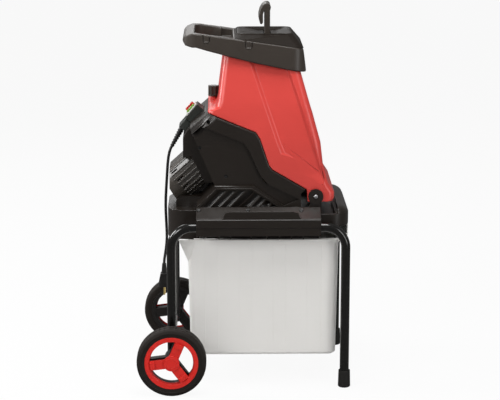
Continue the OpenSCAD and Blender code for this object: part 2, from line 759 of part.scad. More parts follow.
// Raised lip round the louvres
module louvre_lip() {
  difference() {
    slab(lift(inset(LOUVRE, 6), deck_z), -housing_y - lip_proud, -housing_y + 1);
    slab(lift(inset(LOUVRE, 1.5), deck_z), -housing_y - 9, -housing_y + 2);
  }
}
module louvres() {
  intersection() {
    slab(lift(LOUVRE, deck_z), -housing_y - 5, -cavity_y - louvre_back);
    for (i = [0:9]) slab(lift([[-128 + i * louvre_pitch, 10],
      [-128 + i * louvre_pitch + louvre_w * 1.414, 10],
      [-78 + i * louvre_pitch + louvre_w * 1.414, 60], [-78 + i * louvre_pitch, 60]], deck_z),
        -housing_y - 6, -cavity_y - louvre_back + 1);
  }
}
module right_housing() { color("#252120") housing(); }
module left_housing() { color("#252120") mirror([0, 1, 0]) housing(); }
module housing_screws() {
  color("#3a3a3b") both_sides() for (p = hole_pts) translate([p[0], 0, deck_z + p[1]]) rotate([90, 0, 0]) {
    translate([0, 0, screw_seat - 8]) cylinder(r = screw_r, h = 8);
    translate([0, 0, screw_seat]) cylinder(r = screw_head_r, h = screw_head_t);
  }
}
// Pins from the lugs into the hopper's ears
ear_t = 14;
module hinge_pins() {
  color("#c9cbcd") both_sides() translate([hinge_x, -housing_y + ear_t - 1, hinge_z]) rotate([90, 0, 0])
    cylinder(r = pin_r, h = ear_t + slip + lug_t + 1.5);
}

// Motor cover: a ribbed can with a flat top and a snubbed end
rib_count = 22;
rib_proud = 3;
rib_low = -164;
rib_top = -100;
seat_r = small_bearing_r + run;
module motor_cover() {
  color("#211e1d") difference() {
    union() {
      intersection() {
        union() {
          motor_form(motor_r, motor_flat, -240, motor_plate_z - touch);
          on_motor() for (i = [0:rib_count - 1]) rotate([0, 0, -124 + i * 248 / (rib_count - 1)])
            translate([motor_r - 1, -1.5, rib_low]) cube([1 + rib_proud, 3, rib_top - rib_low]);
        }
        slab(lift(MOTOR_END, deck_z), -100, 100);
      }
    }
    intersection() {
      motor_form(motor_r - motor_wall, motor_flat - motor_wall, -238, 0);
      slab(lift(inset(MOTOR_END, motor_wall), deck_z), -99, 99);
      on_motor() translate([0, 0, -140]) cylinder(r = 200, h = 300);
    }
    intersection() {
      motor_form(motor_r - motor_wall, motor_flat - motor_wall, -238, -130);
      slab(lift(inset(MOTOR_END, motor_wall), deck_z), -99, 99);
      on_motor() translate([0, 0, -300]) ring(200, seat_r + 3, 200);
    }
    on_motor() translate([0, 0, rear_bearing_low]) cylinder(r = seat_r, h = 200);
    on_motor() translate([0, 0, rear_bearing_low + small_bearing_w + 1]) cylinder(r = seat_r + 4, h = 200);
    // Slots between the ribs let the cooling air through
    on_motor() for (i = [0:2:rib_count - 2]) rotate([0, 0, -124 + (i + 0.5) * 248 / (rib_count - 1)])
      translate([motor_r - 8, -1.6, rib_low + 4]) cube([20, 3.2, 18]);
  }
}

// Drive: everything here stands on the spindle or on the motor axis beside it
post_r = 6;
posts = [[-88, 44], [-88, -44], [44, 44], [44, -44]];
bulkhead_x0 = -96;
bulkhead_x1 = 70;
knife_bolt_r = 3;
knife_bolt_head_r = 5;
knife_bolt_head_t = 2.5;
ring_top = disc_t + knife_t + knife_bolt_head_t + 0.7;
module bulkhead() {
  color("#a9adb0") on_spindle() difference() {
    union() {
      translate([bulkhead_x0, -cavity_y + slip, plate_z])
        cube([bulkhead_x1 - bulkhead_x0, 2 * (cavity_y - slip), plate_t]);
      translate([0, 0, plate_z + 1]) cylinder(r = ring_r + ring_t, h = ring_top - plate_z - 1);
      for (p = posts) translate([p[0], p[1], motor_plate_z + plate_t])
        cylinder(r = post_r, h = plate_z - motor_plate_z - plate_t + 1);
    }
    translate([0, 0, plate_z + plate_t]) cylinder(r = ring_r, h = 100);
    translate([0, 0, plate_z - 1]) cylinder(r = bearing_r + run, h = plate_t + 2);
    // Chips leave through a window low in the ring
    translate([ring_r / 2, -45, plate_z + plate_t]) cube([ring_r, 90, 26]);
    for (y = anvil_screw_ys) translate([ring_r + ring_t / 2, y, 0])
      cylinder(r = anvil_screw_r + run, h = 100);
  }
}
anvil_screw_ys = [-9, 9];
anvil_screw_r = 2;
module motor_plate() {
  color("#a9adb0") on_spindle() difference() {
    translate([-96, -56, motor_plate_z]) cube([148, 112, plate_t]);
    translate([0, 0, motor_plate_z - 1]) cylinder(r = bearing_r + run, h = plate_t + 2);
    translate([-centre_dist, 0, motor_plate_z - 1]) cylinder(r = small_bearing_r + run, h = plate_t + 2);
  }
}
module spindle() {
  color("#8d9093") on_spindle() translate([0, 0, motor_plate_z - 3])
    cylinder(r = spindle_r, h = disc_t + 12 - motor_plate_z + 3);
}
module spindle_bearings() {
  color("#c4c7ca") on_spindle() for (z = [plate_z - bearing_w + plate_t, motor_plate_z])
    translate([0, 0, z]) ring(bearing_r, spindle_r + run, bearing_w);
}
hub_r = 20;
hub_low = plate_z + plate_t + 1.5;
knife_in = 30;
knife_bolt_xs = [40, 66];
module cutting_disc() {
  color("#7d8184") on_spindle() difference() {
    union() {
      cylinder(r = disc_r, h = disc_t);
      translate([0, 0, hub_low]) cylinder(r = hub_r, h = 1 - hub_low);
      // Throwing ribs under the disc
      for (a = [45, 225]) rotate([0, 0, a]) translate([hub_r - 2, -2, -14])
        cube([disc_r - hub_r - 4, 4, 15]);
    }
    translate([0, 0, -100]) cylinder(r = spindle_r + run, h = 200);
    // Chip slots beside the knives
    for (a = [0, 180]) rotate([0, 0, a]) translate([knife_in, knife_w / 2 + 2, -1])
      cube([44, 12, disc_t + 2]);
    for (a = [0, 180]) rotate([0, 0, a]) for (x = knife_bolt_xs) translate([x, 0, -1])
      cylinder(r = knife_bolt_r + run, h = 20);
  }
}
module knives() {
  color("#b8bcc0") on_spindle() for (a = [0, 180]) rotate([0, 0, a])
    translate([0, 0, disc_t]) difference() {
    translate([knife_in, 0, 0]) rotate([90, 0, 90]) linear_extrude(46)
      polygon([[-knife_w / 2, 0], [knife_w / 2, 0], [knife_w / 2 - 6, knife_t], [6 - knife_w / 2,
        knife_t]]);
    for (x = knife_bolt_xs) translate([x, 0, -1]) cylinder(r = knife_bolt_r + run, h = 20);
  }
}
module knife_screws() {
  color("#55585b") on_spindle() for (a = [0, 180]) rotate([0, 0, a]) for (x = knife_bolt_xs) {
    translate([x, 0, 0.5]) cylinder(r = knife_bolt_r, h = disc_t + knife_t);
    translate([x, 0, disc_t + knife_t]) cylinder(r = knife_bolt_head_r, h = knife_bolt_head_t);
  }
}
module disc_nut() {
  color("#8d9093") on_spindle() translate([0, 0, disc_t]) difference() {
    cylinder(r = spindle_r + 6, h = 9, $fn = 6);
    translate([0, 0, -1]) cylinder(r = spindle_r + run, h = 20);
  }
}
module counter_knife() {
  color("#b8bcc0") on_spindle() {
    translate([knife_in + 4, -14, ring_top + 0.2]) difference() {
      cube([ring_r + ring_t - knife_in - 4, 28, 6]);
      for (y = anvil_screw_ys) translate([ring_r + ring_t / 2 - knife_in - 4, 14 + y, -1])
        cylinder(r = anvil_screw_r + run, h = 20);
    }
    for (y = anvil_screw_ys) translate([ring_r + ring_t / 2, y, 2]) {
      cylinder(r = anvil_screw_r, h = ring_top + 5);
      translate([0, 0, ring_top + 4.2]) cylinder(r = anvil_screw_r + 1.5, h = 2);
    }
  }
}

// Involute gears
press_angle = 20;
function involute(a) = tan(a) * 180 / PI - a;
function half_tooth(r, rp) =
  let (rb = rp * cos(press_angle), ra = max(r, rb))
  (PI * gear_m / 2 - backlash / 2) / (2 * rp) * 180 / PI + involute(press_angle) - involute(acos(rb / ra));
function tooth(c, rp, tip, root) =
  let (rb = rp * cos(press_angle), low = max(root, rb), n = 4,
    rs = [for (i = [0:n]) low + (tip - low) * i / n])
  concat([[root, c - half_tooth(low, rp)]], [for (r = rs) [r, c - half_tooth(r, rp)]],
    [for (i = [n:-1:0]) [rs[i], c + half_tooth(rs[i], rp)]], [[root, c + half_tooth(low, rp)]]);
module gear_form(z, turn, tip) {
  rp = gear_m * z / 2;
  polygon([for (i = [0:z - 1]) for (p = tooth(turn + i * 360 / z, rp, rp + tip, rp - 1.25 * gear_m))
    [p[0] * cos(p[1]), p[0] * sin(p[1])]]);
}
gear_tip = 0.75 * gear_m;
module drive_gear() {
  color("#6f7376") on_spindle() translate([0, 0, gear_low]) difference() {
    linear_extrude(gear_t) gear_form(gear_z, 180, gear_tip);
    translate([0, 0, -1]) cylinder(r = spindle_r + run, h = 40);
    for (a = [0:60:300]) rotate([0, 0, a]) translate([gear_m * gear_z / 3.2, 0, -1])
      cylinder(r = 5, h = 40);
  }
}
shaft_top = plate_z - 3;
module motor_shaft() {
  color("#8d9093") on_motor() {
    translate([0, 0, rear_bearing_low]) cylinder(r = shaft_r, h = gear_low - rear_bearing_low + 1);
    translate([0, 0, gear_low - 1]) linear_extrude(shaft_top - gear_low)
      gear_form(pinion_z, 180 / pinion_z, gear_m);
  }
}
module armature() {
  color("#8a5a33") on_motor() difference() {
    union() {
      translate([0, 0, stack_low]) cylinder(r = armature_r, h = stack_len);
      translate([0, 0, stack_low - end_turn]) cylinder(r = armature_r - 5, h = stack_len + 2 * end_turn);
    }
    translate([0, 0, -300]) cylinder(r = shaft_r + run, h = 400);
  }
}
module commutator() {
  color("#b87333") on_motor() translate([0, 0, comm_low]) ring(comm_r, shaft_r + run, comm_len);
}
fan_r = 33;
module motor_fan() {
  color("#2c2c2c") on_motor() translate([0, 0, fan_low]) difference() {
    union() {
      cylinder(r = fan_r, h = 2);
      cylinder(r = 9, h = fan_t);
      for (a = [0:40:320]) rotate([0, 0, a]) translate([8, -1, 0]) cube([fan_r - 9, 2, fan_t]);
    }
    translate([0, 0, -1]) cylinder(r = shaft_r + run, h = 40);
  }
}
pole_web = 5.3;
yoke_deep = 13;
coil_out = motor_r - yoke_deep;
coil_in = armature_r + air_gap + pole_web;
coil_half = 20;
module stator() {
  color("#5d6063") on_motor() translate([0, 0, stack_low]) difference() {
    intersection() {
      cylinder(r = motor_r - motor_wall - slip, h = stack_len);
      translate([-flat_in, -100, -1]) cube([2 * flat_in, 200, stack_len + 2]);
    }
    translate([0, 0, -1]) cylinder(r = armature_r + air_gap, h = stack_len + 2);
    for (s = [-1, 1]) translate([-coil_half - slip, s > 0 ? coil_in - slip : -coil_out - slip, -1])
      cube([2 * (coil_half + slip), coil_out - coil_in + 2 * slip, stack_len + 2]);
  }
}
module field_coils() {
  color("#a5642f") on_motor() for (s = [-1, 1])
    translate([-coil_half, s > 0 ? coil_in : -coil_out, stack_low - end_turn])
      cube([2 * coil_half, coil_out - coil_in, stack_len + 2 * end_turn]);
}
module brush_form(extra) {
  translate([comm_r + 0.1 - extra, -brush_half - extra, comm_low + 3 - extra])
    cube([12 + 2 * extra, 2 * brush_half + 2 * extra, 7 + 2 * extra]);
}
module brush_holders() {
  color("#b59a4c") on_motor() for (a = [0, 180]) rotate([0, 0, a]) difference() {
    translate([comm_r + 4, -brush_half - 3, comm_low])
      cube([flat_in - comm_r - 6, 2 * brush_half + 6, stack_low - comm_low]);
    brush_form(touch);
    translate([0, -50, stack_low - end_turn - 1]) cube([armature_r + 1, 100, 40]);
  }
}
module brushes() {
  color("#303030") on_motor() for (a = [0, 180]) rotate([0, 0, a]) brush_form(0);
}
module motor_bearings() {
  color("#c4c7ca") on_motor() for (z = [rear_bearing_low, motor_plate_z])
    translate([0, 0, z]) ring(small_bearing_r, shaft_r + run, small_bearing_w);
}

// Switch box on the sloping face, with the inlet block below it
switch_wall = 2.5;
module switch_box() {
  color("#474a45") on_switch() difference() {
    translate([switch_low, -switch_y, slip]) cube([switch_len, 2 * switch_y, switch_h - slip]);
    translate([switch_low + switch_wall, -switch_y + switch_wall, -1])
      cube([switch_len - 2 * switch_wall, 2 * (switch_y - switch_wall), switch_h - switch_wall + 1]);
    for (y = button_ys) translate([button_x, y, 0]) button_form(button_gap, 60);
  }
}
button_gap = 0.4;
button_x = switch_low + switch_len / 2 + 2;
button_ys = [-button_w / 2 - 1.5, button_w / 2 + 1.5];
module button_form(extra, h) {
  translate([-button_len / 2 - extra, -button_w / 2 - extra, 0])
    cube([button_len + 2 * extra, button_w + 2 * extra, h]);
}
module inlet_block() {
  color("#393b38") on_switch() difference() {
    translate([switch_low - inlet_len, -switch_y + 3, slip])
      cube([inlet_len - touch, 2 * switch_y - 6, switch_h - 2]);
    relief_axis() translate([0, 0, -60]) cylinder(r = relief_r + run, h = 66);
  }
}
// The strain relief leaves the inlet block's lower end, a little steeper than the slope
relief_r = 7.5;
relief_turn = -90 - 12;
relief_z = 13;
module relief_axis() {
  translate([switch_low - inlet_len, 0, relief_z]) rotate([0, relief_turn, 0]) children();
}
relief_ribs = 8;
relief_root = 8;
module strain_relief() {
  pitch = relief_len / relief_ribs;
  taper = (relief_r - cord_r - 1.2) / relief_len;
  color("#1b1a19") on_switch() relief_axis() difference() {
    rotate_extrude() polygon(concat([[0, -relief_root], [relief_r, -relief_root]],
      [for (i = [0:relief_ribs - 1]) for (k = [[0.02, 0], [0.55, 0], [0.6, 1.2], [0.98, 1.2]])
        [relief_r - taper * (i + k[0]) * pitch - k[1], (i + k[0]) * pitch]], [[0, relief_len]]));
    translate([0, 0, relief_len - relief_grip]) cylinder(r = cord_r + run, h = 40);
  }
}
relief_grip = 6;
module switch_bezel() {
  color("#c9cac6") on_switch() translate([0, 0, switch_h]) difference() {
    translate([switch_low + 5, -switch_y + 5, 0]) cube([switch_len - 8, 2 * switch_y - 10, bezel_t]);
    for (y = button_ys) translate([button_x, y, -10]) button_form(button_gap, 60);
  }
}
// A button has a foot inside the box that keeps it in
button_foot = 1.5;
on_proud = 4;
off_proud = 8;
module button(y, proud) {
  on_switch() translate([button_x, y, switch_h - switch_wall - button_foot - slip]) {
    button_form(button_gap + 0.8, button_foot);
    button_form(0, button_foot + slip + switch_wall + bezel_t + proud);
  }
}
module on_button() { color("#3f9a4a") button(button_ys[0], on_proud); }
module off_button() { color("#cf2b2b") button(button_ys[1], off_proud); }

// Mains cord, swept along its points
cord_turns = len(CORD) - 1;
function cord_dir(i) =
  let (a = CORD[max(i - 1, 0)], b = CORD[min(i + 1, cord_turns)]) (b - a) / norm(b - a);
function cord_ring(i) =
  let (d = i == 0 ? relief_dir : (i == cord_turns ? plug_dir : cord_dir(i)))
  [for (k = [0:cord_sides - 1]) let (a = 360 * k / cord_sides)
    [CORD[i][0] + cord_r * cos(a) * -d[1], cord_r * sin(a), CORD[i][1] + cord_r * cos(a) * d[0]]];
relief_angle = switch_tilt + relief_turn;
relief_dir = [sin(relief_angle), cos(relief_angle)];
plug_dir = [0, -1];
module mains_cord() {
  color("#161514") loft([for (i = [0:cord_turns]) cord_ring(i)]);
}
// Two-pin plug: a tapered grip with a waist and a flat front
plug_w = 29;
plug_t = 24;
plug_neck = 26;
module mains_plug() {
  color("#191817") translate([plug_top[0], 0, plug_top[1]]) {
    translate([0, 0, -plug_neck]) cylinder(r1 = 7, r2 = cord_r + 1.5, h = plug_neck - touch);
    translate([0, 0, -plug_len]) intersection() {
      linear_extrude(plug_len - plug_neck + 1)
        polygon(round_rect(-plug_w / 2, plug_w / 2, -plug_t / 2, plug_t / 2, 9));
      slab([[-plug_w / 2, 0], [plug_w / 2, 0], [plug_w / 2, 9], [9, plug_len - plug_neck + 1],
        [-9, plug_len - plug_neck + 1], [-plug_w / 2, 9]], -plug_t, plug_t);
    }
  }
}
pin_gap = 19;
plug_pin_r = 2.4;
plug_pin_len = 19;
module plug_pins() {
  color("#b9a36a") for (s = [-1, 1])
    translate([plug_top[0], s * pin_gap / 2, plug_top[1] - plug_len - plug_pin_len])
    cylinder(r = plug_pin_r, h = plug_pin_len - touch);
}

// Hopper
function hopper_ring(s, d) = [for (p = round_rect(s[1] + d, s[2] - d, -housing_y - s[3] + d,
  housing_y + s[3] - d,
  max(hopper_corner - d, 3))) [p[0], p[1], deck_z + s[0]]];
module hopper_form(d) {
  loft([for (s = HOPPER) hopper_ring(s, d)]);
}
// The sunk panel's room, with its slopes, grown by e
crease_back = 3.5;
crease_out = 30;
function hopper_y(h) = housing_y + lookup(h, [for (s = HOPPER) [s[0], s[3]]]);
function crease_ring(c, e) =
  let (y = -hopper_y(c[0]), k = 0.1)
  [for (p = [[c[1] - e - k * c[3], y - crease_out], [c[2] + e + k * c[4], y - crease_out],
    [c[2] + e + k * c[4], y - k * c[5]], [c[2] + e - c[4], y + c[5] + e], [c[1] - e + c[3], y + c[5] + e],
    [c[1] - e - k * c[3], y - k * c[5]]]) [p[0], p[1], deck_z + c[0]]];
module crease_form(e) {
  loft([for (c = CREASE) crease_ring(c, e)]);
}
// Height under the collar's plate at x, measured over the deck
function under_collar(x) = 414 - collar_plate - collar_slope * (x + 20);
step_x = -22;
step_z = 391;
collar_floor = lift([[-70, step_z - touch], [step_x + 0.5, step_z - touch],
  [step_x + 0.5, under_collar(step_x + 0.5) - touch], [160, under_collar(160) - touch], [160, 500],
  [-70, 500]], deck_z);
module hopper() {
  color("#db3a33") difference() {
    union() {
      difference() {
        hopper_form(0);
        hopper_form(hopper_wall);
      }
      // Wall behind the sunk panels
      intersection() {
        hopper_form(0.5);
        both_sides() crease_form(crease_back);
      }
      // Wall behind the knob's niche
      intersection() {
        hopper_form(0.5);
        translate([knob_x, 0, boss_top - 12]) cylinder(r = niche_r + hopper_wall / 2, h = niche_h + 15);
      }
      // Ears round the hinge pins
      intersection() {
        hopper_form(0);
        both_sides() translate([hinge_x, -housing_y + ear_t, hinge_z]) rotate([90, 0, 0])
          cylinder(r = 15, h = ear_t);
      }
      translate([knob_x, 0, deck_z + 240]) cylinder(r = 8.5, h = boss_top - deck_z - 240);
    }
    slab(concat(lift(SEAM, deck_z + seam),
      lift([[152, 27], [260, 27], [260, -80], [-200, -80], [-200, 240 + seam]], deck_z)),
      -200, 200);
    both_sides() crease_form(0);
    translate([knob_x, 0, boss_top]) cylinder(r = niche_r, h = niche_h);
    slab(collar_floor, -200, 200);
    translate([hinge_x, 200, hinge_z]) rotate([90, 0, 0]) cylinder(r = pin_r + run, h = 400);
    translate([knob_x, 0, 0]) cylinder(r = lock_r + run, h = 900);
    translate([hinge_x, 0, hinge_z]) lug_room();
  }
}
// The ears stay inside the lugs' inner faces
module lug_room() {
  both_sides() translate([0, -housing_y, 0]) rotate([90, 0, 0]) cylinder(d = lug_d + 4, h = lug_t + 2);
}

// Collar with the carrying handle
collar_corner = 34;
collar_in_y = collar_y - collar_wall;
tab_xs = [-88, 12];
module collar() {
  color("#3d3836") difference() {
    intersection() {
      slab(lift(COLLAR, deck_z), -collar_y, collar_y);
      linear_extrude(2000) polygon(round_rect(collar_x0, collar_x1, -collar_y, collar_y, collar_corner));
    }
    linear_extrude(2000)
      polygon(round_rect(handle_hole_x0, handle_hole_x1, -collar_y + handle_w, collar_y - handle_w, 22));
    // The hopper's top stands inside the skirt
    intersection() {
      slab(lift([[collar_in_x, 300], [collar_in_x, step_z], [step_x, step_z], [step_x,
        under_collar(step_x)],
        [160, under_collar(160)], [160, 300]], deck_z), -200, 200);
      linear_extrude(2000) {
        polygon(round_rect(collar_in_x, collar_x1 - collar_wall, -collar_in_y, collar_in_y,
          collar_corner - collar_wall));
        polygon(round_rect(collar_in_x, mouth_x1 / 2, -collar_in_y, collar_in_y, 10));
      }
    }
    linear_extrude(2000) polygon(round_rect(mouth_x0 + 6, mouth_x1 - 6, -funnel_rim_y + 6,
      funnel_rim_y - 6, 20));
    // Lower floor between the handle and the funnel
    block(handle_hole_x1 - 1, step_x - 3, -collar_y + handle_w + 4, collar_y - handle_w - 4,
      deck_z + step_z + collar_plate, deck_z + 500);
    // Notches of the snap tabs
    both_sides() for (x = tab_xs)
      block(x - 7, x + 7, -collar_y - 1, -collar_y + 2, deck_z + 394 - x * collar_slope, deck_z + 440);
  }
}

// Feed funnel: a sloping hood with a dish and the pusher's slot
funnel_slot_x = pusher_t / 2 + pusher_gap;
funnel_slope = collar_slope;
function funnel_ring(x0, x1, y, r, z, slope) =
  [for (p = round_rect(x0, x1, -y, y, r)) [p[0], p[1], deck_z + z - slope * p[0]]];
dish_low = 403;
dish_under = dish_low + 8;
module feed_funnel() {
  color("#2a2625") difference() {
    loft([funnel_ring(-22, 143, collar_y - 4, 20, 411.3, funnel_slope),
      funnel_ring(funnel_x0, funnel_x1, funnel_rim_y, 17, 421, 0),
      funnel_ring(funnel_x0 + 2, funnel_x1 - 2, funnel_rim_y - 2, 15, 423, 0)]);
    loft([funnel_ring(pusher_x - 22, pusher_x + 24, feed_slot_y + 2, 8, dish_low + 12, 0),
      funnel_ring(funnel_x0 + 5, funnel_x1 - 5, funnel_rim_y - 5, 13, 424, 0)]);
    loft([funnel_ring(-14, 133, collar_y - 12, 16, 407, funnel_slope),
      funnel_ring(funnel_x0 + 8, funnel_x1 - 8, funnel_rim_y - 6, 12, dish_under, 0)]);
    block(pusher_x - funnel_slot_x, pusher_x + funnel_slot_x, -feed_slot_y, feed_slot_y, deck_z + 300,
      deck_z + 500);
  }
}
// Chute that leads branches down to the disc
chute_wall = 3;
chute_y = 70;
module chute_form(d) {
  loft([funnel_ring(4 + d, 64 - d, chute_y - 8 - d, 8, 214 - 30 * d / chute_wall, 0),
    funnel_ring(mouth_x0 + 13 + d, mouth_x1 - 14 - d, chute_y - d, 8, 345, 0),
    funnel_ring(mouth_x0 + 13 + d, mouth_x1 - 14 - d, chute_y - d, 8, dish_under - touch + d, 0)]);
}
module feed_chute() {
  color("#2a2625") difference() {
    chute_form(0);
    chute_form(chute_wall);
  }
}

// Pusher: a post with a hooked grip
module pusher() {
  x0 = pusher_x - pusher_t / 2;
  x1 = pusher_x + pusher_t / 2;
  color("#1f1c1b") {
    block(x0, x1, -pusher_y, pusher_y, pusher_low, pusher_top - 14);
    slab([[x0 - 14, pusher_top - 38], [x0 - 11, pusher_top - 49], [x0 - 7, pusher_top - 51],
      [x0 - 4, pusher_top - 46], [x0 - 4, pusher_top - 26], [x0 - 2, pusher_top - 20], [x0,
        pusher_top - 18],
      [x1, pusher_top - 18], [x1 + 2, pusher_top - 10], [x1, pusher_top - 3], [x1 - 4, pusher_top],
      [x0 + 1, pusher_top], [x0 - 6, pusher_top - 6], [x0 - 11, pusher_top - 15], [x0 - 14,
        pusher_top - 27]],
      -pusher_y, pusher_y);
  }
}

// Locking knob and its screw
knob_lobes = 8;
knob_gap = 1;
module lock_knob() {
  color("#1b1918") translate([knob_x, 0, boss_top + knob_gap]) difference() {
    cylinder(d = knob_d, h = knob_h);
    for (i = [0:knob_lobes - 1]) rotate([0, 0, i * 360 / knob_lobes])
      translate([knob_d / 2 + 1.5, 0, 3]) cylinder(r = 4, h = knob_h);
    translate([0, 0, -1]) cylinder(r = lock_r + run, h = knob_h - 6);
  }
}
module lock_screw() {
  color("#a2a5a8") translate([knob_x, 0, lock_tip])
    cylinder(r = lock_r, h = boss_top + knob_gap + knob_h - 8 - lock_tip);
}

right_leg_frame();
left_leg_frame();
foot_caps();
axle();
axle_retainers();
right_tyre();
right_wheel_core();
right_wheel_cover();
left_tyre();
left_wheel_core();
left_wheel_cover();
deck();
right_side_panel();
left_side_panel();
panel_screws();
frame_bolts();
collection_box();
right_housing();
left_housing();
housing_screws();
hinge_pins();
motor_cover();
bulkhead();
motor_plate();
spindle();
spindle_bearings();
cutting_disc();
knives();
knife_screws();
disc_nut();
counter_knife();
drive_gear();
motor_shaft();
armature();
commutator();
motor_fan();
stator();
field_coils();
brush_holders();
brushes();
motor_bearings();
switch_box();
inlet_block();
switch_bezel();
on_button();
off_button();
strain_relief();
mains_cord();
mains_plug();
plug_pins();
hopper();
collar();
feed_funnel();
feed_chute();
pusher();
lock_knob();
lock_screw();
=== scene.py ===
# %% [markdown]
# # A garden shredder, dressed in Blender
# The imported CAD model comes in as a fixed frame: every solid is already in its place, in metres, and
# moves with its own body. This lesson adds what a CAD kernel doesn't give: soft moulded edges, ridges,
# screws with a cross recess, and finishes with grain and gloss. Each new piece rides on the body that
# carries it, so the hopper still tilts and the box still slides.

# %% Load the frame
import json
import math

import bmesh
import bpy
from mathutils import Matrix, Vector
from mathutils.bvhtree import BVHTree

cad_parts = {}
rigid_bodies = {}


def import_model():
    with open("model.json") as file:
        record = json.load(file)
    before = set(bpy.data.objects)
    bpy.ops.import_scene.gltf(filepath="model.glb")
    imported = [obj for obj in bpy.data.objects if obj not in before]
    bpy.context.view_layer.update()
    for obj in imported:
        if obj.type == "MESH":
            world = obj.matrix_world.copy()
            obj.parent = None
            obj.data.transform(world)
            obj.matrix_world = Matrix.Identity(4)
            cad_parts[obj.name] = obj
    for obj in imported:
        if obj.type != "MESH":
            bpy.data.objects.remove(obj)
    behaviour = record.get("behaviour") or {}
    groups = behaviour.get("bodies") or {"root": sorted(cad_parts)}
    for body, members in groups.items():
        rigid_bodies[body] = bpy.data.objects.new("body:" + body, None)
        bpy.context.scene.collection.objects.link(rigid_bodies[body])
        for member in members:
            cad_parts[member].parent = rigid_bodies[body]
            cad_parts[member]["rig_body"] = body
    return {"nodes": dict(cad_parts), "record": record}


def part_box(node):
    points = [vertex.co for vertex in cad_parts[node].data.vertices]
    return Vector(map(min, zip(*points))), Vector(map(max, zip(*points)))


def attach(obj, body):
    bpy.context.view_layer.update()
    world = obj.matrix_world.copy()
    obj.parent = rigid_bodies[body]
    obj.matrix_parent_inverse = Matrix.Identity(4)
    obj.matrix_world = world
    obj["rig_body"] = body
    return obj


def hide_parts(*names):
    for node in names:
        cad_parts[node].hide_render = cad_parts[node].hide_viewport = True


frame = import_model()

MM = 0.001
scene = bpy.context.scene
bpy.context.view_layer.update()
nodes = frame["nodes"]

# %% [markdown]
# ## The camera
# The photograph was taken from the machine's right side with a long lens, a little above it. A long lens
# keeps the two wheels almost the same size. The camera is a plain object with its own lens; a track
# constraint would aim it, but turning it once towards a target point is simpler and leaves nothing live.

# %% Camera
CAMERA_TARGET = (0.01675, 0.0, 0.42567)
CAMERA_PLACE = (-0.0535, -4.0217, 1.3174)
CAMERA_LENS = 120.0
SENSOR_WIDTH = 36.0


def deselect_all():
    bpy.ops.object.select_all(action="DESELECT")


def aim(thing, target):
    """Turns a camera or a lamp towards a point."""
    thing.rotation_euler = (Vector(target) - thing.location).to_track_quat("-Z", "Y").to_euler()


deselect_all()
bpy.ops.object.camera_add(location=CAMERA_PLACE)
camera = bpy.context.object
camera.name = "photo_camera"
aim(camera, CAMERA_TARGET)
camera.data.lens = CAMERA_LENS
camera.data.sensor_width = SENSOR_WIDTH
camera.data.sensor_fit = "HORIZONTAL"
bpy.context.scene.camera = camera
print("camera at", [round(c, 3) for c in camera.location])

# %% [markdown]
# ## The mains lead
# The short lead hangs from its strain relief down behind the deck and ends in a plug. A rubber lead is a
# fixed length of something bendy, so it starts as one curve with a round section rather than a row of
# cylinders, and then becomes a mesh tube. The points repeat the route of the CAD solid, which it replaces.

# %% Mains lead
CORD_DIAMETER = 0.007
CORD_ROUTE = [
    (-173.1, 565), (-177.8, 556.5), (-181, 547), (-183.5, 535), (-185.5, 518), (-187, 497),
    (-188.5, 475), (-190, 453), (-191, 435), (-191.5, 416), (-191.5, 400), (-191, 386),
    (-190, 360), (-189.5, 345), (-189.5, 330), (-190.5, 316), (-192, 303), (-194, 290),
    (-196, 278), (-197, 266),
]
cord_points = [Vector((x * MM, 0.0, z * MM)) for x, z in CORD_ROUTE]

deselect_all()
bpy.ops.curve.primitive_nurbs_path_add()
lead_data = bpy.context.object.data
lead_data.splines.clear()
lead_line = lead_data.splines.new("POLY")
lead_line.points.add(len(cord_points) - 1)
for point, place in zip(lead_line.points, cord_points):
    point.co = (*place, 1.0)
lead_data.dimensions = "3D"
lead_data.bevel_depth = CORD_DIAMETER / 2
lead_data.bevel_resolution = 5
lead_data.use_fill_caps = True
bpy.ops.object.convert(target="MESH")
mains_lead = bpy.context.object
mains_lead.name = "mains_lead"
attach(mains_lead, "base")
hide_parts("mains_cord")

# %% [markdown]
# ## The floor
# A product picture stands on a white ground, with a faint shadow that ties the machine to it. A plain
# white floor would need so much light that the red would wash out. So the floor glows white for the
# camera, is dark in reflections, which keeps flat black faces black, and takes a share of real light,
# which keeps the shadow. The Light Path node tells these kinds of ray apart.

# %% Helpers: nodes that combine
def math_node(tree, operation, *values):
    """The output of a Math node whose inputs are other nodes' outputs or plain numbers."""
    node = tree.nodes.new("ShaderNodeMath")
    node.operation = operation
    for socket, value in zip(node.inputs, values):
        if isinstance(value, float):
            socket.default_value = value
        else:
            tree.links.new(value, socket)
    return node.outputs[0]


def mixed_shaders(tree, share, first, second):
    """The output of a Mix Shader node between two shader nodes."""
    node = tree.nodes.new("ShaderNodeMixShader")
    tree.links.new(share, node.inputs["Fac"])
    tree.links.new(first.outputs[0], node.inputs[1])
    tree.links.new(second.outputs[0], node.inputs[2])
    return node.outputs[0]


print("node helpers:", math_node.__name__, mixed_shaders.__name__)

# %% Floor
FLOOR_SIZE = 60.0
FLOOR_GREY = (0.62, 0.62, 0.62, 1)
FLOOR_GLOW_SHARE = 0.93
FLOOR_GLOSSY_DROP = -0.85
WHITE = (1, 1, 1, 1)

deselect_all()
bpy.ops.mesh.primitive_plane_add(size=FLOOR_SIZE, location=(0, 0, 0))
floor = bpy.context.object
floor.name = "studio_floor"

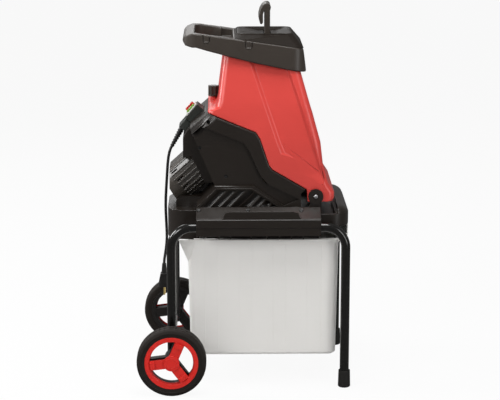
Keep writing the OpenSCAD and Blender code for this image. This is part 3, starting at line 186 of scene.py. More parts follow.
floor_paint = bpy.data.materials.new("studio_white")
floor_paint.use_nodes = True
floor_tree = floor_paint.node_tree
floor_tree.nodes.clear()
floor_out = floor_tree.nodes.new("ShaderNodeOutputMaterial")
floor_matt = floor_tree.nodes.new("ShaderNodeBsdfDiffuse")
floor_matt.inputs["Color"].default_value = FLOOR_GREY
floor_glow = floor_tree.nodes.new("ShaderNodeEmission")
floor_glow.inputs["Color"].default_value = WHITE
floor_ray = floor_tree.nodes.new("ShaderNodeLightPath").outputs
floor_shine = math_node(floor_tree, "MULTIPLY_ADD", floor_ray["Is Glossy Ray"], FLOOR_GLOSSY_DROP, 1.0)
floor_tree.links.new(floor_shine, floor_glow.inputs["Strength"])
floor_seen = math_node(floor_tree, "MAXIMUM", floor_ray["Is Camera Ray"], floor_ray["Is Glossy Ray"])
floor_seen = math_node(floor_tree, "MAXIMUM", floor_seen, floor_ray["Is Transmission Ray"])
floor_share = math_node(floor_tree, "MULTIPLY", floor_seen, FLOOR_GLOW_SHARE)
floor_mix = mixed_shaders(floor_tree, floor_share, floor_matt, floor_glow)
floor_tree.links.new(floor_mix, floor_out.inputs["Surface"])
floor.data.materials.append(floor_paint)
print("floor:", FLOOR_SIZE, "m square")

# %% [markdown]
# ## Lamps and background
# Soft light from both sides and from above gives long highlights on the tubes. Area lamps are used, because
# a sun or a point lamp would draw hard shadows. The tall strip on the right puts one thin bright line on
# every round black part. The world is a weak fill light, and plain white to the camera.

# %% Lamps
LAMP_TARGET = (0.0, 0.0, 0.45)
STRIP_TARGET = (0.0, 0.0, 1.15)


def softbox(name, place, target, size, power, tall=None):
    """An area lamp that looks at a point, square or taller than wide."""
    bpy.ops.object.light_add(type="AREA", location=place)
    lamp = bpy.context.object
    lamp.name = name
    lamp.data.shape = "RECTANGLE"
    lamp.data.size = size
    lamp.data.size_y = tall or size
    lamp.data.energy = power
    aim(lamp, target)
    return lamp


softbox("left_softbox", (-2.2, -2.2, 2.0), LAMP_TARGET, 1.1, 38)
softbox("right_strip", (2.2, -2.2, 1.15), STRIP_TARGET, 0.5, 26, 2.2)
softbox("top_softbox", (0.1, -0.7, 2.7), LAMP_TARGET, 1.2, 46)
softbox("side_strip", (-2.3, 0.3, 1.5), LAMP_TARGET, 1.0, 44)
softbox("rear_softbox", (-0.6, 2.6, 2.0), LAMP_TARGET, 1.6, 18)

# %% World
WORLD_FILL = 0.22

world = bpy.data.worlds.new("studio_world")
scene.world = world
world.use_nodes = True
world_tree = world.node_tree
world_tree.nodes.clear()
world_out = world_tree.nodes.new("ShaderNodeOutputWorld")
world_fill = world_tree.nodes.new("ShaderNodeBackground")
world_fill.inputs["Color"].default_value = WHITE
world_fill.inputs["Strength"].default_value = WORLD_FILL
world_white = world_tree.nodes.new("ShaderNodeBackground")
world_white.inputs["Color"].default_value = WHITE
world_white.inputs["Strength"].default_value = 1.0
world_ray = world_tree.nodes.new("ShaderNodeLightPath").outputs
world_seen = math_node(world_tree, "MAXIMUM", world_ray["Is Camera Ray"], world_ray["Is Transmission Ray"])
world_mix = mixed_shaders(world_tree, world_seen, world_fill, world_white)
world_tree.links.new(world_mix, world_out.inputs["Surface"])
scene.view_settings.view_transform = "Standard"
print("world fill:", WORLD_FILL)

# %% [markdown]
# ## Shared surface effects
# Moulded plastic is never quite even: the mould leaves a fine grain, the colour drifts a little over a
# hand's width, and handling leaves faint rubbed streaks. Each effect is a node group, built once and
# placed in every finish that needs it, with its own values. All of them read Object coordinates, so the
# pattern stays put on a piece that moves.

# %% Helpers: an empty group and a noise
def surface_group(name, inputs, outputs):
    """An empty shader node group with named float inputs and outputs, and a coordinate input."""
    tree = bpy.data.node_groups.new(name, "ShaderNodeTree")
    tree.interface.new_socket("Place", in_out="INPUT", socket_type="NodeSocketVector")
    for label, value in inputs:
        socket = tree.interface.new_socket(label, in_out="INPUT", socket_type="NodeSocketFloat")
        socket.default_value = value
    for label in outputs:
        tree.interface.new_socket(label, in_out="OUTPUT", socket_type="NodeSocketFloat")
    return tree, tree.nodes.new("NodeGroupInput"), tree.nodes.new("NodeGroupOutput")


def noise_node(tree, scale, detail, roughness=0.55):
    node = tree.nodes.new("ShaderNodeTexNoise")
    node.inputs["Scale"].default_value = scale
    node.inputs["Detail"].default_value = detail
    node.inputs["Roughness"].default_value = roughness
    return node


print("group helpers:", surface_group.__name__, noise_node.__name__)

# %% Moulded grain
GRAIN_SCALE = 900.0
DRIFT_SCALE = 11.0

grain_group, grain_in, grain_out = surface_group(
    "moulded_grain", [("Grain scale", GRAIN_SCALE)], ["Height", "Drift"])
grain_fine = noise_node(grain_group, GRAIN_SCALE, 2.0)
grain_group.links.new(grain_in.outputs["Place"], grain_fine.inputs["Vector"])
grain_group.links.new(grain_in.outputs["Grain scale"], grain_fine.inputs["Scale"])
grain_group.links.new(grain_fine.outputs["Fac"], grain_out.inputs["Height"])
grain_wide = noise_node(grain_group, DRIFT_SCALE, 3.0, 0.5)
grain_group.links.new(grain_in.outputs["Place"], grain_wide.inputs["Vector"])
grain_group.links.new(grain_wide.outputs["Fac"], grain_out.inputs["Drift"])
print("node group:", grain_group.name)

# %% Rubbed streaks
STREAK_TURN = (0.4, 0.7, 0.2)
STREAK_STRETCH = (14.0, 60.0, 220.0)
STREAK_BAND = (0.56, 0.74)

rub_group, rub_in, rub_out = surface_group("rubbed_streaks", [("Amount", 0.3)], ["Mask"])
rub_turn = rub_group.nodes.new("ShaderNodeMapping")
rub_turn.inputs["Rotation"].default_value = STREAK_TURN
rub_turn.inputs["Scale"].default_value = STREAK_STRETCH
rub_group.links.new(rub_in.outputs["Place"], rub_turn.inputs["Vector"])
rub_noise = noise_node(rub_group, 1.0, 4.0, 0.6)
rub_group.links.new(rub_turn.outputs["Vector"], rub_noise.inputs["Vector"])
rub_band = rub_group.nodes.new("ShaderNodeMapRange")
rub_band.inputs["From Min"].default_value = STREAK_BAND[0]
rub_band.inputs["From Max"].default_value = STREAK_BAND[1]
rub_group.links.new(rub_noise.outputs["Fac"], rub_band.inputs["Value"])
rub_mask = math_node(rub_group, "MULTIPLY", rub_band.outputs["Result"], rub_in.outputs["Amount"])
rub_group.links.new(rub_mask, rub_out.inputs["Mask"])
print("node group:", rub_group.name)

# %% [markdown]
# ## Finishes
# Every finish starts from one Principled shader. The drift changes its colour by a few percent, the
# rubbed streaks make it a little paler, and the grain goes into a Bump node. Steel only differs by its
# metallic value, rubber by its high roughness, and the milky box by letting light through. One function
# with a value for each of these keeps the finishes comparable, line by line.

# %% Helpers: colours of a finish
def scaled(colour, gain, lift=0.0):
    """A colour made paler or darker, with an alpha of one."""
    return (*[min(1.0, c * gain + lift) for c in colour], 1)


def colour_mix(tree, factor, second):
    """A Mix node for colours, with its factor linked and its second colour set."""
    node = tree.nodes.new("ShaderNodeMix")
    node.data_type = "RGBA"
    node.inputs["B"].default_value = second
    tree.links.new(factor, node.inputs["Factor"])
    return node


print("colour helpers:", scaled.__name__, colour_mix.__name__)

# %% Recipe of a finish
COAT_ROUGHNESS = 0.08
BUMP_DISTANCE = 0.0006
WORN_GAIN = 1.25
WORN_LIFT = 0.012


def make_finish(name, colour, roughness, grain=900.0, depth=0.05, drift=0.10, rub=0.25, swing=0.10,
                metallic=0.0, coat=0.0, milky=0.0, shine=0.5):
    paint = bpy.data.materials.new(name)
    paint.use_nodes = True
    tree = paint.node_tree
    shader = tree.nodes["Principled BSDF"]
    shader.inputs["Metallic"].default_value = metallic
    shader.inputs["Specular IOR Level"].default_value = shine
    shader.inputs["Coat Weight"].default_value = coat
    shader.inputs["Coat Roughness"].default_value = COAT_ROUGHNESS
    shader.inputs["Transmission Weight"].default_value = milky
    place = tree.nodes.new("ShaderNodeTexCoord")
    grained = tree.nodes.new("ShaderNodeGroup")
    grained.node_tree = grain_group
    grained.inputs["Grain scale"].default_value = grain
    tree.links.new(place.outputs["Object"], grained.inputs["Place"])
    rubbed = tree.nodes.new("ShaderNodeGroup")
    rubbed.node_tree = rub_group
    rubbed.inputs["Amount"].default_value = rub
    tree.links.new(place.outputs["Object"], rubbed.inputs["Place"])
    tint = colour_mix(tree, grained.outputs["Drift"], scaled(colour, 1 + drift))
    tint.inputs["A"].default_value = scaled(colour, 1 - drift)
    worn = colour_mix(tree, rubbed.outputs["Mask"], scaled(colour, WORN_GAIN, WORN_LIFT))
    tree.links.new(tint.outputs["Result"], worn.inputs["A"])
    tree.links.new(worn.outputs["Result"], shader.inputs["Base Color"])
    gloss = tree.nodes.new("ShaderNodeMapRange")
    gloss.inputs["To Min"].default_value = max(0.02, roughness - swing)
    gloss.inputs["To Max"].default_value = min(1.0, roughness + swing)
    tree.links.new(grained.outputs["Drift"], gloss.inputs["Value"])
    tree.links.new(gloss.outputs["Result"], shader.inputs["Roughness"])
    bump = tree.nodes.new("ShaderNodeBump")
    bump.inputs["Strength"].default_value = depth
    bump.inputs["Distance"].default_value = BUMP_DISTANCE
    tree.links.new(grained.outputs["Height"], bump.inputs["Height"])
    tree.links.new(bump.outputs["Normal"], shader.inputs["Normal"])
    return paint


print("recipe:", make_finish.__name__)

# %% Finishes of the material slots
finishes = {
    "tube_black": make_finish("gloss_black_tube", (0.0045, 0.004, 0.0035), 0.18, 500, 0.03,
                              coat=0.3, shine=0.4),
    "foot_rubber": make_finish("foot_rubber", (0.012, 0.011, 0.010), 0.62, 1400, 0.18, shine=0.25),
    "steel": make_finish("plain_steel", (0.56, 0.56, 0.57), 0.30, 1600, 0.06, metallic=1.0),
    "tyre": make_finish("hard_tyre", (0.0140, 0.0106, 0.0085), 0.62, 1200, 0.20, shine=0.2),
    "wheel_black": make_finish("wheel_core_black", (0.014, 0.012, 0.011), 0.48, 1000, 0.10, shine=0.25),
    "red_plastic": make_finish("satin_red", (0.575, 0.050, 0.040), 0.34, 700, 0.035,
                               0.05, 0.10, 0.05, shine=0.5),
    "deck_black": make_finish("grained_black", (0.0135, 0.0098, 0.0074), 0.34, 1100, 0.10, shine=0.42),
    "collar_black": make_finish("collar_black", (0.038, 0.030, 0.024), 0.40, 1100, 0.12, shine=0.4),
    "box_clear": make_finish("milky_box", (0.865, 0.85, 0.82), 0.42, 500, 0.04, 0.03, 0.08, milky=0.12),
    "cast_aluminium": make_finish("die_cast", (0.55, 0.56, 0.57), 0.45, 800, 0.16, metallic=1.0),
    "copper": make_finish("copper", (0.60, 0.27, 0.12), 0.35, 1500, 0.12, metallic=1.0),
    "lamination": make_finish("laminations", (0.17, 0.18, 0.19), 0.45, 1800, 0.2, metallic=0.6),
    "fan_plastic": make_finish("fan_black", (0.025, 0.025, 0.025), 0.5, 1000, 0.1),
    "brass_parts": make_finish("pressed_brass", (0.66, 0.50, 0.20), 0.30, 1500, 0.06, metallic=1.0),
    "black_steel": make_finish("black_steel", (0.012, 0.012, 0.012), 0.42, 1600, 0.08, shine=0.3),
    "carbon": make_finish("carbon", (0.025, 0.025, 0.025), 0.6, 1500, 0.2),
    "switch_grey": make_finish("switch_grey", (0.034, 0.038, 0.034), 0.38, 1200, 0.12, shine=0.3),
    "bezel_pale": make_finish("pale_bezel", (0.60, 0.60, 0.57), 0.35, 1200, 0.05, 0.04),
    "button_green": make_finish("green_button", (0.16, 0.34, 0.04), 0.30, 1200, 0.04, 0.04),
    "button_red": make_finish("red_button", (0.60, 0.02, 0.02), 0.30, 1200, 0.04, 0.04),
    "cord_black": make_finish("lead_rubber", (0.011, 0.010, 0.010), 0.46, 1500, 0.1, shine=0.3),
}
print("finishes:", len(finishes))

# %% [markdown]
# ## Finishes of single pieces
# A few pieces look different from the others of their slot: the motor cover is glossier, and its black is
# painted lighter, a painted sheen for the bright ribs; the funnel is duller, and its black is painted
# darker, a painted shade for its outer wall; the wheels are a deeper red, and the panel screws are dull
# zinc. They get a finish of their own, and everything else takes the finish of its slot.

# %% Finishes on the pieces
special_finishes = {
    # Painted sheen: the motor cover's black is lighter than the deck's and stands in for highlights on its
    # ribs
    "motor_cover": make_finish("ribbed_black_painted_sheen", (0.046, 0.038, 0.030), 0.30, 1100, 0.05,
                               coat=0.4, shine=0.7),
    # Painted shade: the funnel's black is darker than the collar's and stands in for the shade on its outer
    # wall
    "feed_funnel": make_finish("funnel_painted_shade", (0.014, 0.0105, 0.008), 0.55, 1100, 0.12, shine=0.10),
    "right_wheel_cover": make_finish("wheel_red", (0.62, 0.018, 0.012), 0.42, 700, 0.04,
                                     0.06, 0.1, shine=0.25),
    "panel_screws": make_finish("dull_zinc", (0.26, 0.26, 0.26), 0.42, 1600, 0.06, metallic=1.0),
}
special_finishes["left_wheel_cover"] = special_finishes["right_wheel_cover"]
node_slot = {s["node"]: s["material_slot"] for s in frame["record"]["subparts"]}
for name, solid in nodes.items():
    solid.data.materials.clear()
    solid.data.materials.append(special_finishes.get(name, finishes[node_slot[name]]))
mains_lead.data.materials.append(finishes["cord_black"])
print("pieces with a finish of their own:", len(special_finishes))

# %% [markdown]
# ## Soft edges on the mouldings
# A moulded part has no knife edges: every corner has a radius of about a millimetre that catches a thin
# line of light. The CAD solids are exact but sharp, so the mouldings are copied, their loose triangles
# merged, flat areas cleaned up, and the sharp edges rounded with a Bevel modifier. The copy takes the
# place of the solid. The radii could be drawn in CAD too, but there every crowded corner needs its own care.

# %% Helpers: choosing, editing and seating a piece
def make_active(piece):
    deselect_all()
    piece.select_set(True)
    bpy.context.view_layer.objects.active = piece


def start_edit(piece, kind):
    """Opens a mesh with nothing selected and hands over its edges and faces."""
    make_active(piece)
    bpy.ops.object.mode_set(mode="EDIT")
    bpy.ops.mesh.select_mode(type=kind)
    bpy.ops.mesh.select_all(action="DESELECT")
    return bmesh.from_edit_mesh(piece.data)


def end_edit():
    bpy.ops.object.mode_set(mode="OBJECT")


def seat(piece, node):
    """Puts a piece in a CAD node's place: same body, same finish, and the node is hidden."""
    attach(piece, nodes[node]["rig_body"])
    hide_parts(node)
    piece.data.materials.clear()
    piece.data.materials.append(special_finishes.get(node, finishes[node_slot[node]]))


print("slots in use:", len(set(node_slot.values())))

# %% Helpers: a clean copy and its shading
MERGE_DISTANCE = 0.02 * MM
FLAT_ANGLE = math.radians(0.6)
FLAT_FACE_WEIGHT = 80


def merged_copy(node, name):
    """A copy of a CAD solid with its triangles merged and its flat areas cleaned up."""
    piece = bpy.data.objects.new(name, nodes[node].data.copy())
    scene.collection.objects.link(piece)
    make_active(piece)
    bpy.ops.object.mode_set(mode="EDIT")
    bpy.ops.mesh.select_all(action="SELECT")
    bpy.ops.mesh.remove_doubles(threshold=MERGE_DISTANCE)
    bpy.ops.mesh.dissolve_limited(angle_limit=FLAT_ANGLE)
    end_edit()
    return piece


def apply_modifier(piece, kind, **settings):
    make_active(piece)
    modifier = piece.modifiers.new(kind.lower(), kind)
    for key, value in settings.items():
        setattr(modifier, key, value)
    bpy.ops.object.modifier_apply(modifier=modifier.name)


def shade_by_angle(piece, angle):
    make_active(piece)
    bpy.ops.object.shade_smooth_by_angle(angle=math.radians(angle))


def smooth_faces(piece, angle):
    """Smooth shading up to an angle, with large flat faces kept flat."""
    shade_by_angle(piece, angle)
    apply_modifier(piece, "WEIGHTED_NORMAL", keep_sharp=True, weight=FLAT_FACE_WEIGHT)


print("merge distance:", MERGE_DISTANCE, "m")

# %% Helpers: a soft-edged copy and its twin
SMOOTH_ANGLE = 38
REACH_SHARE = 0.35
REACH_SPARE = 0.2


def settle(piece, node, reach_mm):
    """Puts vertices that a crowded corner threw out back on the CAD surface."""
    solid = nodes[node].data
    corners = [v.co for v in solid.vertices]
    surface = BVHTree.FromPolygons(corners, [list(p.vertices) for p in solid.polygons])
    for vertex in piece.data.vertices:
        place, normal, index, distance = surface.find_nearest(vertex.co)
        if distance > reach_mm * MM:
            vertex.co = place


def soft_copy(node, width_mm, segments, angle=SMOOTH_ANGLE):
    piece = merged_copy(node, node + "_moulding")
    apply_modifier(piece, "BEVEL", width=width_mm * MM, segments=segments, limit_method="ANGLE",
                   angle_limit=math.radians(angle), use_clamp_overlap=False, miter_outer="MITER_ARC")
    settle(piece, node, REACH_SHARE * width_mm + REACH_SPARE)
    smooth_faces(piece, max(angle, SMOOTH_ANGLE))
    seat(piece, node)
    return piece


def mirrored_copy(piece, node):
    """The left-hand twin of a right-hand moulding, with a mesh of its own."""
    twin = bpy.data.objects.new(node + "_moulding", piece.data.copy())
    scene.collection.objects.link(twin)
    make_active(twin)
    bpy.ops.mesh.customdata_custom_splitnormals_clear()
    twin.scale = (1.0, -1.0, 1.0)
    bpy.ops.object.transform_apply(location=False, rotation=False, scale=True)
    bpy.ops.object.mode_set(mode="EDIT")
    bpy.ops.mesh.select_all(action="SELECT")
    bpy.ops.mesh.normals_make_consistent(inside=False)
    end_edit()
    smooth_faces(twin, SMOOTH_ANGLE)
    seat(twin, node)
    return twin


print("edges are smooth up to", SMOOTH_ANGLE, "degrees")

# %% Soft mouldings
# Width of the rounding in millimetres, the number of steps in it, and the angle from which edges get it
SOFT_EDGES = {
    "deck": (1.5, 2), "right_side_panel": (1.2, 2), "collar": (3.2, 4, 30), "feed_funnel": (2.0, 3, 14),
    "pusher": (2.2, 3), "lock_knob": (0.8, 2), "motor_cover": (0.6, 2), "switch_box": (1.2, 2),
    "inlet_block": (2.4, 3), "switch_bezel": (0.8, 2), "on_button": (0.7, 2), "off_button": (0.7, 2),
    "right_wheel_cover": (1.0, 2), "left_wheel_cover": (1.0, 2), "right_wheel_core": (1.0, 2),
    "left_wheel_core": (1.0, 2), "mains_plug": (1.2, 2), "collection_box": (0.8, 2), "hopper": (2.5, 3),
    "hinge_pins": (2.2, 3), "foot_caps": (1.0, 2), "knives": (0.3, 1), "bulkhead": (0.8, 2),
}
mouldings = {}
for node, rounding in SOFT_EDGES.items():
    mouldings[node] = soft_copy(node, *rounding)
mouldings["left_side_panel"] = mirrored_copy(mouldings["right_side_panel"], "left_side_panel")
print("soft-edged mouldings:", len(mouldings), "with",
      sum(len(p.data.polygons) for p in mouldings.values()), "faces")

# %% [markdown]
# ## The lead and its plug
# The plug now has its soft edges, and the cell prints the moulding that hangs on the lead's end.

# %% Lead and plug
print("lead ends in", mouldings["mains_plug"].name)

# %% [markdown]
# ## Housing halves
# The black halves have broad round shoulders along the band under the hopper, a raised lip round the
# louvres, and only fine edges at the slats. One bevel width would break the slats, so the edges are chosen
# by their place, in edit mode: the shoulders get a wide bevel, the lip a narrow one, and all others stay
# crisp, with those round the upper screw among them.

# %% Helper: rounding chosen ridges
RIDGE_ANGLE = math.radians(32)


def round_ridges(piece, wanted, width_mm, segments):
    """Bevels the convex edges whose middle passes the test, in edit mode."""
    shell = start_edit(piece, "EDGE")
    chosen = 0
    for edge in shell.edges:
        if len(edge.link_faces) == 2 and edge.is_convex and edge.calc_face_angle() > RIDGE_ANGLE:
            middle = (edge.verts[0].co + edge.verts[1].co) / 2 / MM
            if wanted(middle):
                edge.select_set(True)
                chosen += 1
    bmesh.update_edit_mesh(piece.data)
    if chosen:
        bpy.ops.mesh.bevel(offset=width_mm * MM, segments=segments, affect="EDGES", clamp_overlap=False)
    end_edit()
    return chosen


print("ridges from", round(math.degrees(RIDGE_ANGLE)), "degrees")

# %% Housing halves
DECK_Z = 424.0
LIP_TOP = DECK_Z + 66
LIP_FRONT = 100
LIP_Y = 143.6
SHOULDER_Y = 141.5
SHOULDER_FRONT = 140
SCREW_FRONT = -70
SCREW_LOW = DECK_Z + 205


def on_shoulder(place):
    """The outer faces of a housing half, away from the louvres, the lug and the upper screw."""
    near_top_screw = place.x < SCREW_FRONT and place.z > SCREW_LOW
    outside = abs(place.y) > SHOULDER_Y and place.z > LIP_TOP and place.x < SHOULDER_FRONT
    return outside and not near_top_screw


def on_lip(place):
    """The outer face of the raised lip round the louvres."""
    return abs(place.y) > LIP_Y and place.z < LIP_TOP and place.x < LIP_FRONT


for node in ("right_housing", "left_housing"):
    half = merged_copy(node, node + "_moulding")
    ridges = round_ridges(half, on_lip, 1.4, 3)
    ridges += round_ridges(half, on_shoulder, 4.0, 4)
    smooth_faces(half, SMOOTH_ANGLE)
    seat(half, node)
    print(node, "ridges rounded:", ridges)

# %% [markdown]
# ## Nose of the deck
# In front of the hopper's tail the deck rises to a smooth dome. It starts as a flat grid. Every row of the
# grid becomes a quarter of an ellipse, from the dome's back edge down to the deck's outline, and the height
# falls off towards both corners. The back edge is extruded down to the deck, and the underside is filled.
# A scaled sphere would be quicker, but its outline wouldn't follow the deck's round corners.

# %% Deck nose: the dome
NOSE_BACK = 224.2
NOSE_END = 144.0
NOSE_CORNER = (207.0, 105.0, 43.5)
NOSE_BASE = DECK_Z - 1.5
NOSE_RISE = 17.8
NOSE_SQUARENESS = 12
NOSE_ROWS = 60
NOSE_STEPS = 14


def nose_outline(y):
    """How far forward the nose reaches at a place across the deck."""
    x, start, radius = NOSE_CORNER
    past = max(0.0, abs(y) - start)
    return x + math.sqrt(max(0.0, radius ** 2 - past ** 2))


deselect_all()
bpy.ops.mesh.primitive_grid_add(x_subdivisions=NOSE_STEPS, y_subdivisions=NOSE_ROWS, size=2.0)
nose = bpy.context.object
nose.name = "deck_nose"
for vertex in nose.data.vertices:
    turn = (vertex.co.x + 1) / 2 * math.pi / 2
    y = NOSE_END * math.sin(vertex.co.y * math.pi / 2)
    rise = NOSE_RISE * math.sqrt(max(0.0, 1 - abs(y / NOSE_END) ** NOSE_SQUARENESS))
    reach = max(0.0, nose_outline(y) - NOSE_BACK)
    vertex.co = Vector((NOSE_BACK + reach * math.sin(turn), y, NOSE_BASE + rise * math.cos(turn))) * MM
print("dome:", len(nose.data.vertices), "vertices")

# %% Deck nose: back and underside
NOSE_MERGE = 0.05 * MM
NOSE_SMOOTH_ANGLE = 40

dome = start_edit(nose, "EDGE")
for edge in dome.edges:
    if all(v.co.x < (NOSE_BACK + 0.01) * MM for v in edge.verts):
        edge.select_set(True)
bmesh.update_edit_mesh(nose.data)
bpy.ops.mesh.extrude_edges_move(TRANSFORM_OT_translate={"value": (0, 0, -MM)})
dome = bmesh.from_edit_mesh(nose.data)
for vertex in dome.verts:
    if vertex.select:
        vertex.co.z = NOSE_BASE * MM
bmesh.update_edit_mesh(nose.data)
bpy.ops.mesh.select_all(action="SELECT")
bpy.ops.mesh.remove_doubles(threshold=NOSE_MERGE)
bpy.ops.mesh.select_all(action="DESELECT")
bpy.ops.mesh.select_non_manifold()
bpy.ops.mesh.edge_face_add()
bpy.ops.mesh.select_all(action="SELECT")
bpy.ops.mesh.normals_make_consistent(inside=False)
end_edit()
smooth_faces(nose, NOSE_SMOOTH_ANGLE)
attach(nose, nodes["deck"]["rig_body"])
nose.data.materials.append(finishes[node_slot["deck"]])
print("deck nose:", len(nose.data.polygons), "faces")

# %% [markdown]
# ## Screws with a cross recess
# A screw head is a plain disc until it has its cross. Two crossed bars stand in each head, all bars are
# joined into one cutter, and a Boolean modifier takes them out of a copy of the CAD screws. The cutter is
# deleted once the modifier is applied.

# %% Helpers: bars and joining
def bar(size, place, turn=(0.0, 0.0, 0.0)):
    """A cube with its sides and its middle in millimetres."""
    deselect_all()
    bpy.ops.mesh.primitive_cube_add(size=1.0, location=[c * MM for c in place], rotation=turn)
    piece = bpy.context.object
    piece.scale = [c * MM for c in size]
    bpy.ops.object.transform_apply(location=True, rotation=True, scale=True)
    return piece


def join_pieces(pieces, name):
    """Joins pieces into the first one."""
    deselect_all()
    for piece in pieces:
        piece.select_set(True)
    bpy.context.view_layer.objects.active = pieces[0]
    bpy.ops.object.join()
    joined = bpy.context.object
    joined.name = name
    return joined


print("bar helpers:", bar.__name__, join_pieces.__name__)

# %% Screws
CROSS_SIZE = 5.4
CROSS_ARM = CROSS_SIZE * 0.26
CROSS_DEPTH = 3.0
SCREW_SMOOTH_ANGLE = 35
PANEL_HEAD_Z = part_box("panel_screws")[1][2] / MM
PANEL_SCREW_Y = 162.1
PANEL_SCREW_XS = (-108, 9, 136)
HOUSING_HEAD_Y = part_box("housing_screws")[1][1] / MM
HOUSING_SCREW_XZ = ((-84, 221), (-105, 158), (-43, 89))
UPRIGHT_BARS = [(CROSS_SIZE, CROSS_ARM, CROSS_DEPTH), (CROSS_ARM, CROSS_SIZE, CROSS_DEPTH)]
SIDEWAYS_BARS = [(CROSS_SIZE, CROSS_DEPTH, CROSS_ARM), (CROSS_ARM, CROSS_DEPTH, CROSS_SIZE)]


def recess_screws(node, places, bars):
    """Cuts a cross, made of two bars, into every head of a node of screws."""
    piece = merged_copy(node, node + "_recessed")
    cutter = join_pieces([bar(size, place) for place in places for size in bars], "cross_cutter")
    apply_modifier(piece, "BOOLEAN", object=cutter, operation="DIFFERENCE", solver="EXACT", use_self=True)
    bpy.data.objects.remove(cutter)
    shade_by_angle(piece, SCREW_SMOOTH_ANGLE)
    seat(piece, node)


panel_heads = [(x, side * PANEL_SCREW_Y, PANEL_HEAD_Z) for x in PANEL_SCREW_XS for side in (-1, 1)]
housing_heads = [(x, side * HOUSING_HEAD_Y, DECK_Z + z) for x, z in HOUSING_SCREW_XZ for side in (-1, 1)]
recess_screws("panel_screws", panel_heads, UPRIGHT_BARS)
recess_screws("housing_screws", housing_heads, SIDEWAYS_BARS)
print("recessed screws:", len(panel_heads) + len(housing_heads))

# %% [markdown]
# ## Ribs and rim of the collection box
# The tall sides of the box carry faint upright ribs and a thicker band under the rim. Each one is a cube
# stretched to size, and leans with the wall, which slopes inwards towards the floor. A bump in the finish
# would look much the same from afar, but it would not be part of the mesh.

# %% Box ribs
BOX_TOP = 362.0
BOX_LOW = 72.0
BOX_Y = 150.0
BOX_TAPER = 5.0
BOX_LEAN = math.atan2(BOX_TAPER, BOX_TOP - BOX_LOW)
RIB_XS = (-95, -64, -11, 20, 70, 100, 151, 187)
RIB_SIZE = (2.2, 1.0, 262.0)
RIB_Y = BOX_Y - BOX_TAPER / 2
RIB_Z = 216.0
RIM_SIZE = (350.0, 2.0, 7.0)
RIM_X = 46.0
RIM_Y = BOX_Y - 0.2
RIM_Z = BOX_TOP - 4.5
RIB_ROUNDING = 0.4


def place_piece(piece, body, slot):
    """Applies a new piece's transforms and puts it on a body with its finish."""
    make_active(piece)
    bpy.ops.object.transform_apply(location=True, rotation=True, scale=True)
    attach(piece, body)
    piece.data.materials.clear()
    piece.data.materials.append(finishes[slot])


box_bars = []
for side in (-1, 1):
    for x in RIB_XS:
        box_bars.append(bar(RIB_SIZE, (x, side * RIB_Y, RIB_Z), (side * -BOX_LEAN, 0, 0)))
    box_bars.append(bar(RIM_SIZE, (RIM_X, side * RIM_Y, RIM_Z)))
box_ribs = join_pieces(box_bars, "box_ribs")
apply_modifier(box_ribs, "BEVEL", width=RIB_ROUNDING * MM, segments=2, limit_method="ANGLE")
place_piece(box_ribs, "box", "box_clear")
print("box ribs:", len(box_bars))

# %% [markdown]
# ## Marks on the buttons
# The switch carries the two marks every such switch has: a bar for on and a ring for off. They stand half
# a millimetre proud and move with their buttons. The ring is a turned piece: a small closed section is
# carried once round an axis by the Spin operator. The tyres and wheel covers use the same helper.

# %% Helper: a turned piece
def spun_ring(name, section, centre, axis, out, steps):
    """Spins a closed section of (radius, height along the axis) pairs, in millimetres, round an axis."""
    deselect_all()
    bpy.ops.mesh.primitive_circle_add(vertices=len(section))
    ring = bpy.context.object
    ring.name = name
    for vertex, (radius, height) in zip(ring.data.vertices, section):
        vertex.co = (centre + out * radius + axis * height) * MM
    bpy.ops.object.mode_set(mode="EDIT")
    bpy.ops.mesh.select_all(action="SELECT")
    bpy.ops.mesh.spin(steps=steps, angle=math.tau, center=centre * MM, axis=axis)
    bpy.ops.mesh.select_all(action="SELECT")
    bpy.ops.mesh.remove_doubles(threshold=MERGE_DISTANCE)
    bpy.ops.mesh.normals_make_consistent(inside=False)
    end_edit()
    return ring


print("turning helper:", spun_ring.__name__)

# %% Button marks
SWITCH_PLACE = Vector((-108.604, 0.0, DECK_Z + 211.048))
SLOPE = math.radians(49)
UP_SLOPE = Vector((math.cos(SLOPE), 0.0, math.sin(SLOPE)))
OFF_FACE = Vector((-math.sin(SLOPE), 0.0, math.cos(SLOPE)))
# Place up the slope, across it and out of it
ON_MARK_PLACE = (4.0, -9.0, 32.0)
OFF_MARK_PLACE = (4.0, 9.0, 36.0)
ON_MARK_SIZE = (9.0, 1.8, 1.0)
ON_MARK_ROUNDING = 0.3
OFF_MARK_SECTION = [(3.0, -0.5), (4.2, -0.5), (4.2, 0.3), (3.9, 0.55), (3.3, 0.55), (3.0, 0.3)]
OFF_MARK_STEPS = 48
OFF_MARK_SMOOTH_ANGLE = 50


def on_switch(along, across, out):
    """A point of the switch's sloping face, in millimetres."""
    return SWITCH_PLACE + UP_SLOPE * along + Vector((0.0, across, 0.0)) + OFF_FACE * out


on_mark = bar(ON_MARK_SIZE, on_switch(*ON_MARK_PLACE), (0, -SLOPE, 0))
on_mark.name = "on_mark"
apply_modifier(on_mark, "BEVEL", width=ON_MARK_ROUNDING * MM, segments=2, limit_method="ANGLE")
place_piece(on_mark, "on_button", "bezel_pale")
off_mark = spun_ring("off_mark", OFF_MARK_SECTION, on_switch(*OFF_MARK_PLACE), OFF_FACE, UP_SLOPE,
                     OFF_MARK_STEPS)
smooth_faces(off_mark, OFF_MARK_SMOOTH_ANGLE)
place_piece(off_mark, "off_button", "bezel_pale")

# %% [markdown]
# ## Tyres
# A tyre is a turned shape, so it is made as on a lathe: a circle of points is moved into the tyre's
# section, with a raised ring on the outer wall and a groove in the tread, and the Spin operator carries
# the section once round the axle. Shallow cross grooves come from sinking every fourth tread face.

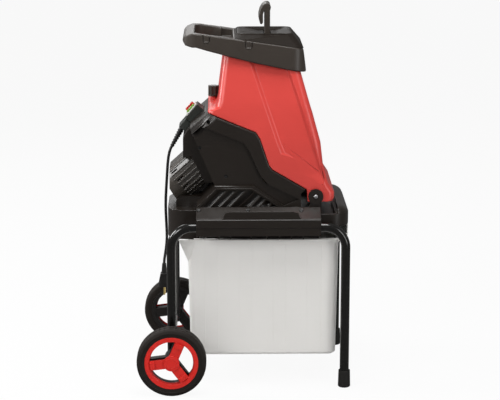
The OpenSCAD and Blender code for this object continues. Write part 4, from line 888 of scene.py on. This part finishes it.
# %% Tyres
AXLE = Vector((-174.0, 0.0, 83.0))
FORWARD = Vector((1, 0, 0))
TYRE_SECTION = [
    (64.2, 0.6), (70, 0.4), (75, 0), (78.1, 0.6), (80.7, 2.3), (82.4, 4.9), (83, 8), (83, 18.6),
    (81.6, 19.2), (81.6, 20.8), (83, 21.4), (83, 32), (82.4, 35.1), (80.7, 37.7), (78.1, 39.4), (75, 39.9),
    (74.2, 40.5), (72.4, 40.5), (71.6, 39.7), (66, 39.5), (64.2, 39.2),
]
TYRE_STEPS = 160
TYRE_IN = 205.0
TYRE_SMOOTH_ANGLE = 30
TREAD_RADIUS = 82.5
TREAD_EVERY = 4
TREAD_INSET = 0.4 * MM
TREAD_DEPTH = -0.7 * MM


def sink_tread(tyre):
    skin = start_edit(tyre, "FACE")
    for face in skin.faces:
        away = face.calc_center_median() / MM - AXLE
        around = math.floor(math.atan2(away.z, away.x) / math.tau * TYRE_STEPS)
        if Vector((away.x, away.z)).length > TREAD_RADIUS and around % TREAD_EVERY == 0:
            face.select_set(True)
    bmesh.update_edit_mesh(tyre.data)
    bpy.ops.mesh.inset(thickness=TREAD_INSET, depth=TREAD_DEPTH)
    end_edit()


wheels = [(label, AXLE + Vector((0, side * TYRE_IN, 0)), Vector((0, side, 0)))
          for side, label in ((-1, "right"), (1, "left"))]
for label, centre, outward in wheels:
    tyre = spun_ring(label + "_tyre_tread", TYRE_SECTION, centre, outward, FORWARD, TYRE_STEPS)
    sink_tread(tyre)
    shade_by_angle(tyre, TYRE_SMOOTH_ANGLE)
    seat(tyre, label + "_tyre")
    print(tyre.name, len(tyre.data.polygons), "faces")

# %% [markdown]
# ## Wheel covers
# The red cover is a deep dish: its rim turns inwards between the spokes and hides most of the black core,
# and a low round cap sits on the hub. Both are spun in the same way as the tyre and joined to the soft
# copy of the CAD cover, so that the wheel keeps one red moulding.

# %% Wheel covers
DISH_SECTION = [(55.0, 38.6), (54.0, 39.8), (53.0, 39.2), (51.2, 27.0), (53.0, 26.4), (55.0, 27.0)]
CAP_SECTION = [(0.02, 41.0), (13.6, 41.0), (13.6, 42.2), (12.8, 42.9), (11.4, 43.0), (10.8, 42.5),
               (0.02, 42.5)]
COVER_STEPS = 96
COVER_SMOOTH_ANGLE = 35
for label, centre, outward in wheels:
    cover = mouldings[label + "_wheel_cover"]
    for part, section in (("dish", DISH_SECTION), ("cap", CAP_SECTION)):
        turned = spun_ring(label + "_" + part, section, centre, outward, FORWARD, COVER_STEPS)
        smooth_faces(turned, COVER_SMOOTH_ANGLE)
        turned.data.materials.append(special_finishes[label + "_wheel_cover"])
        join_pieces([cover, turned], cover.name)
    print(cover.name, len(cover.data.polygons), "faces")
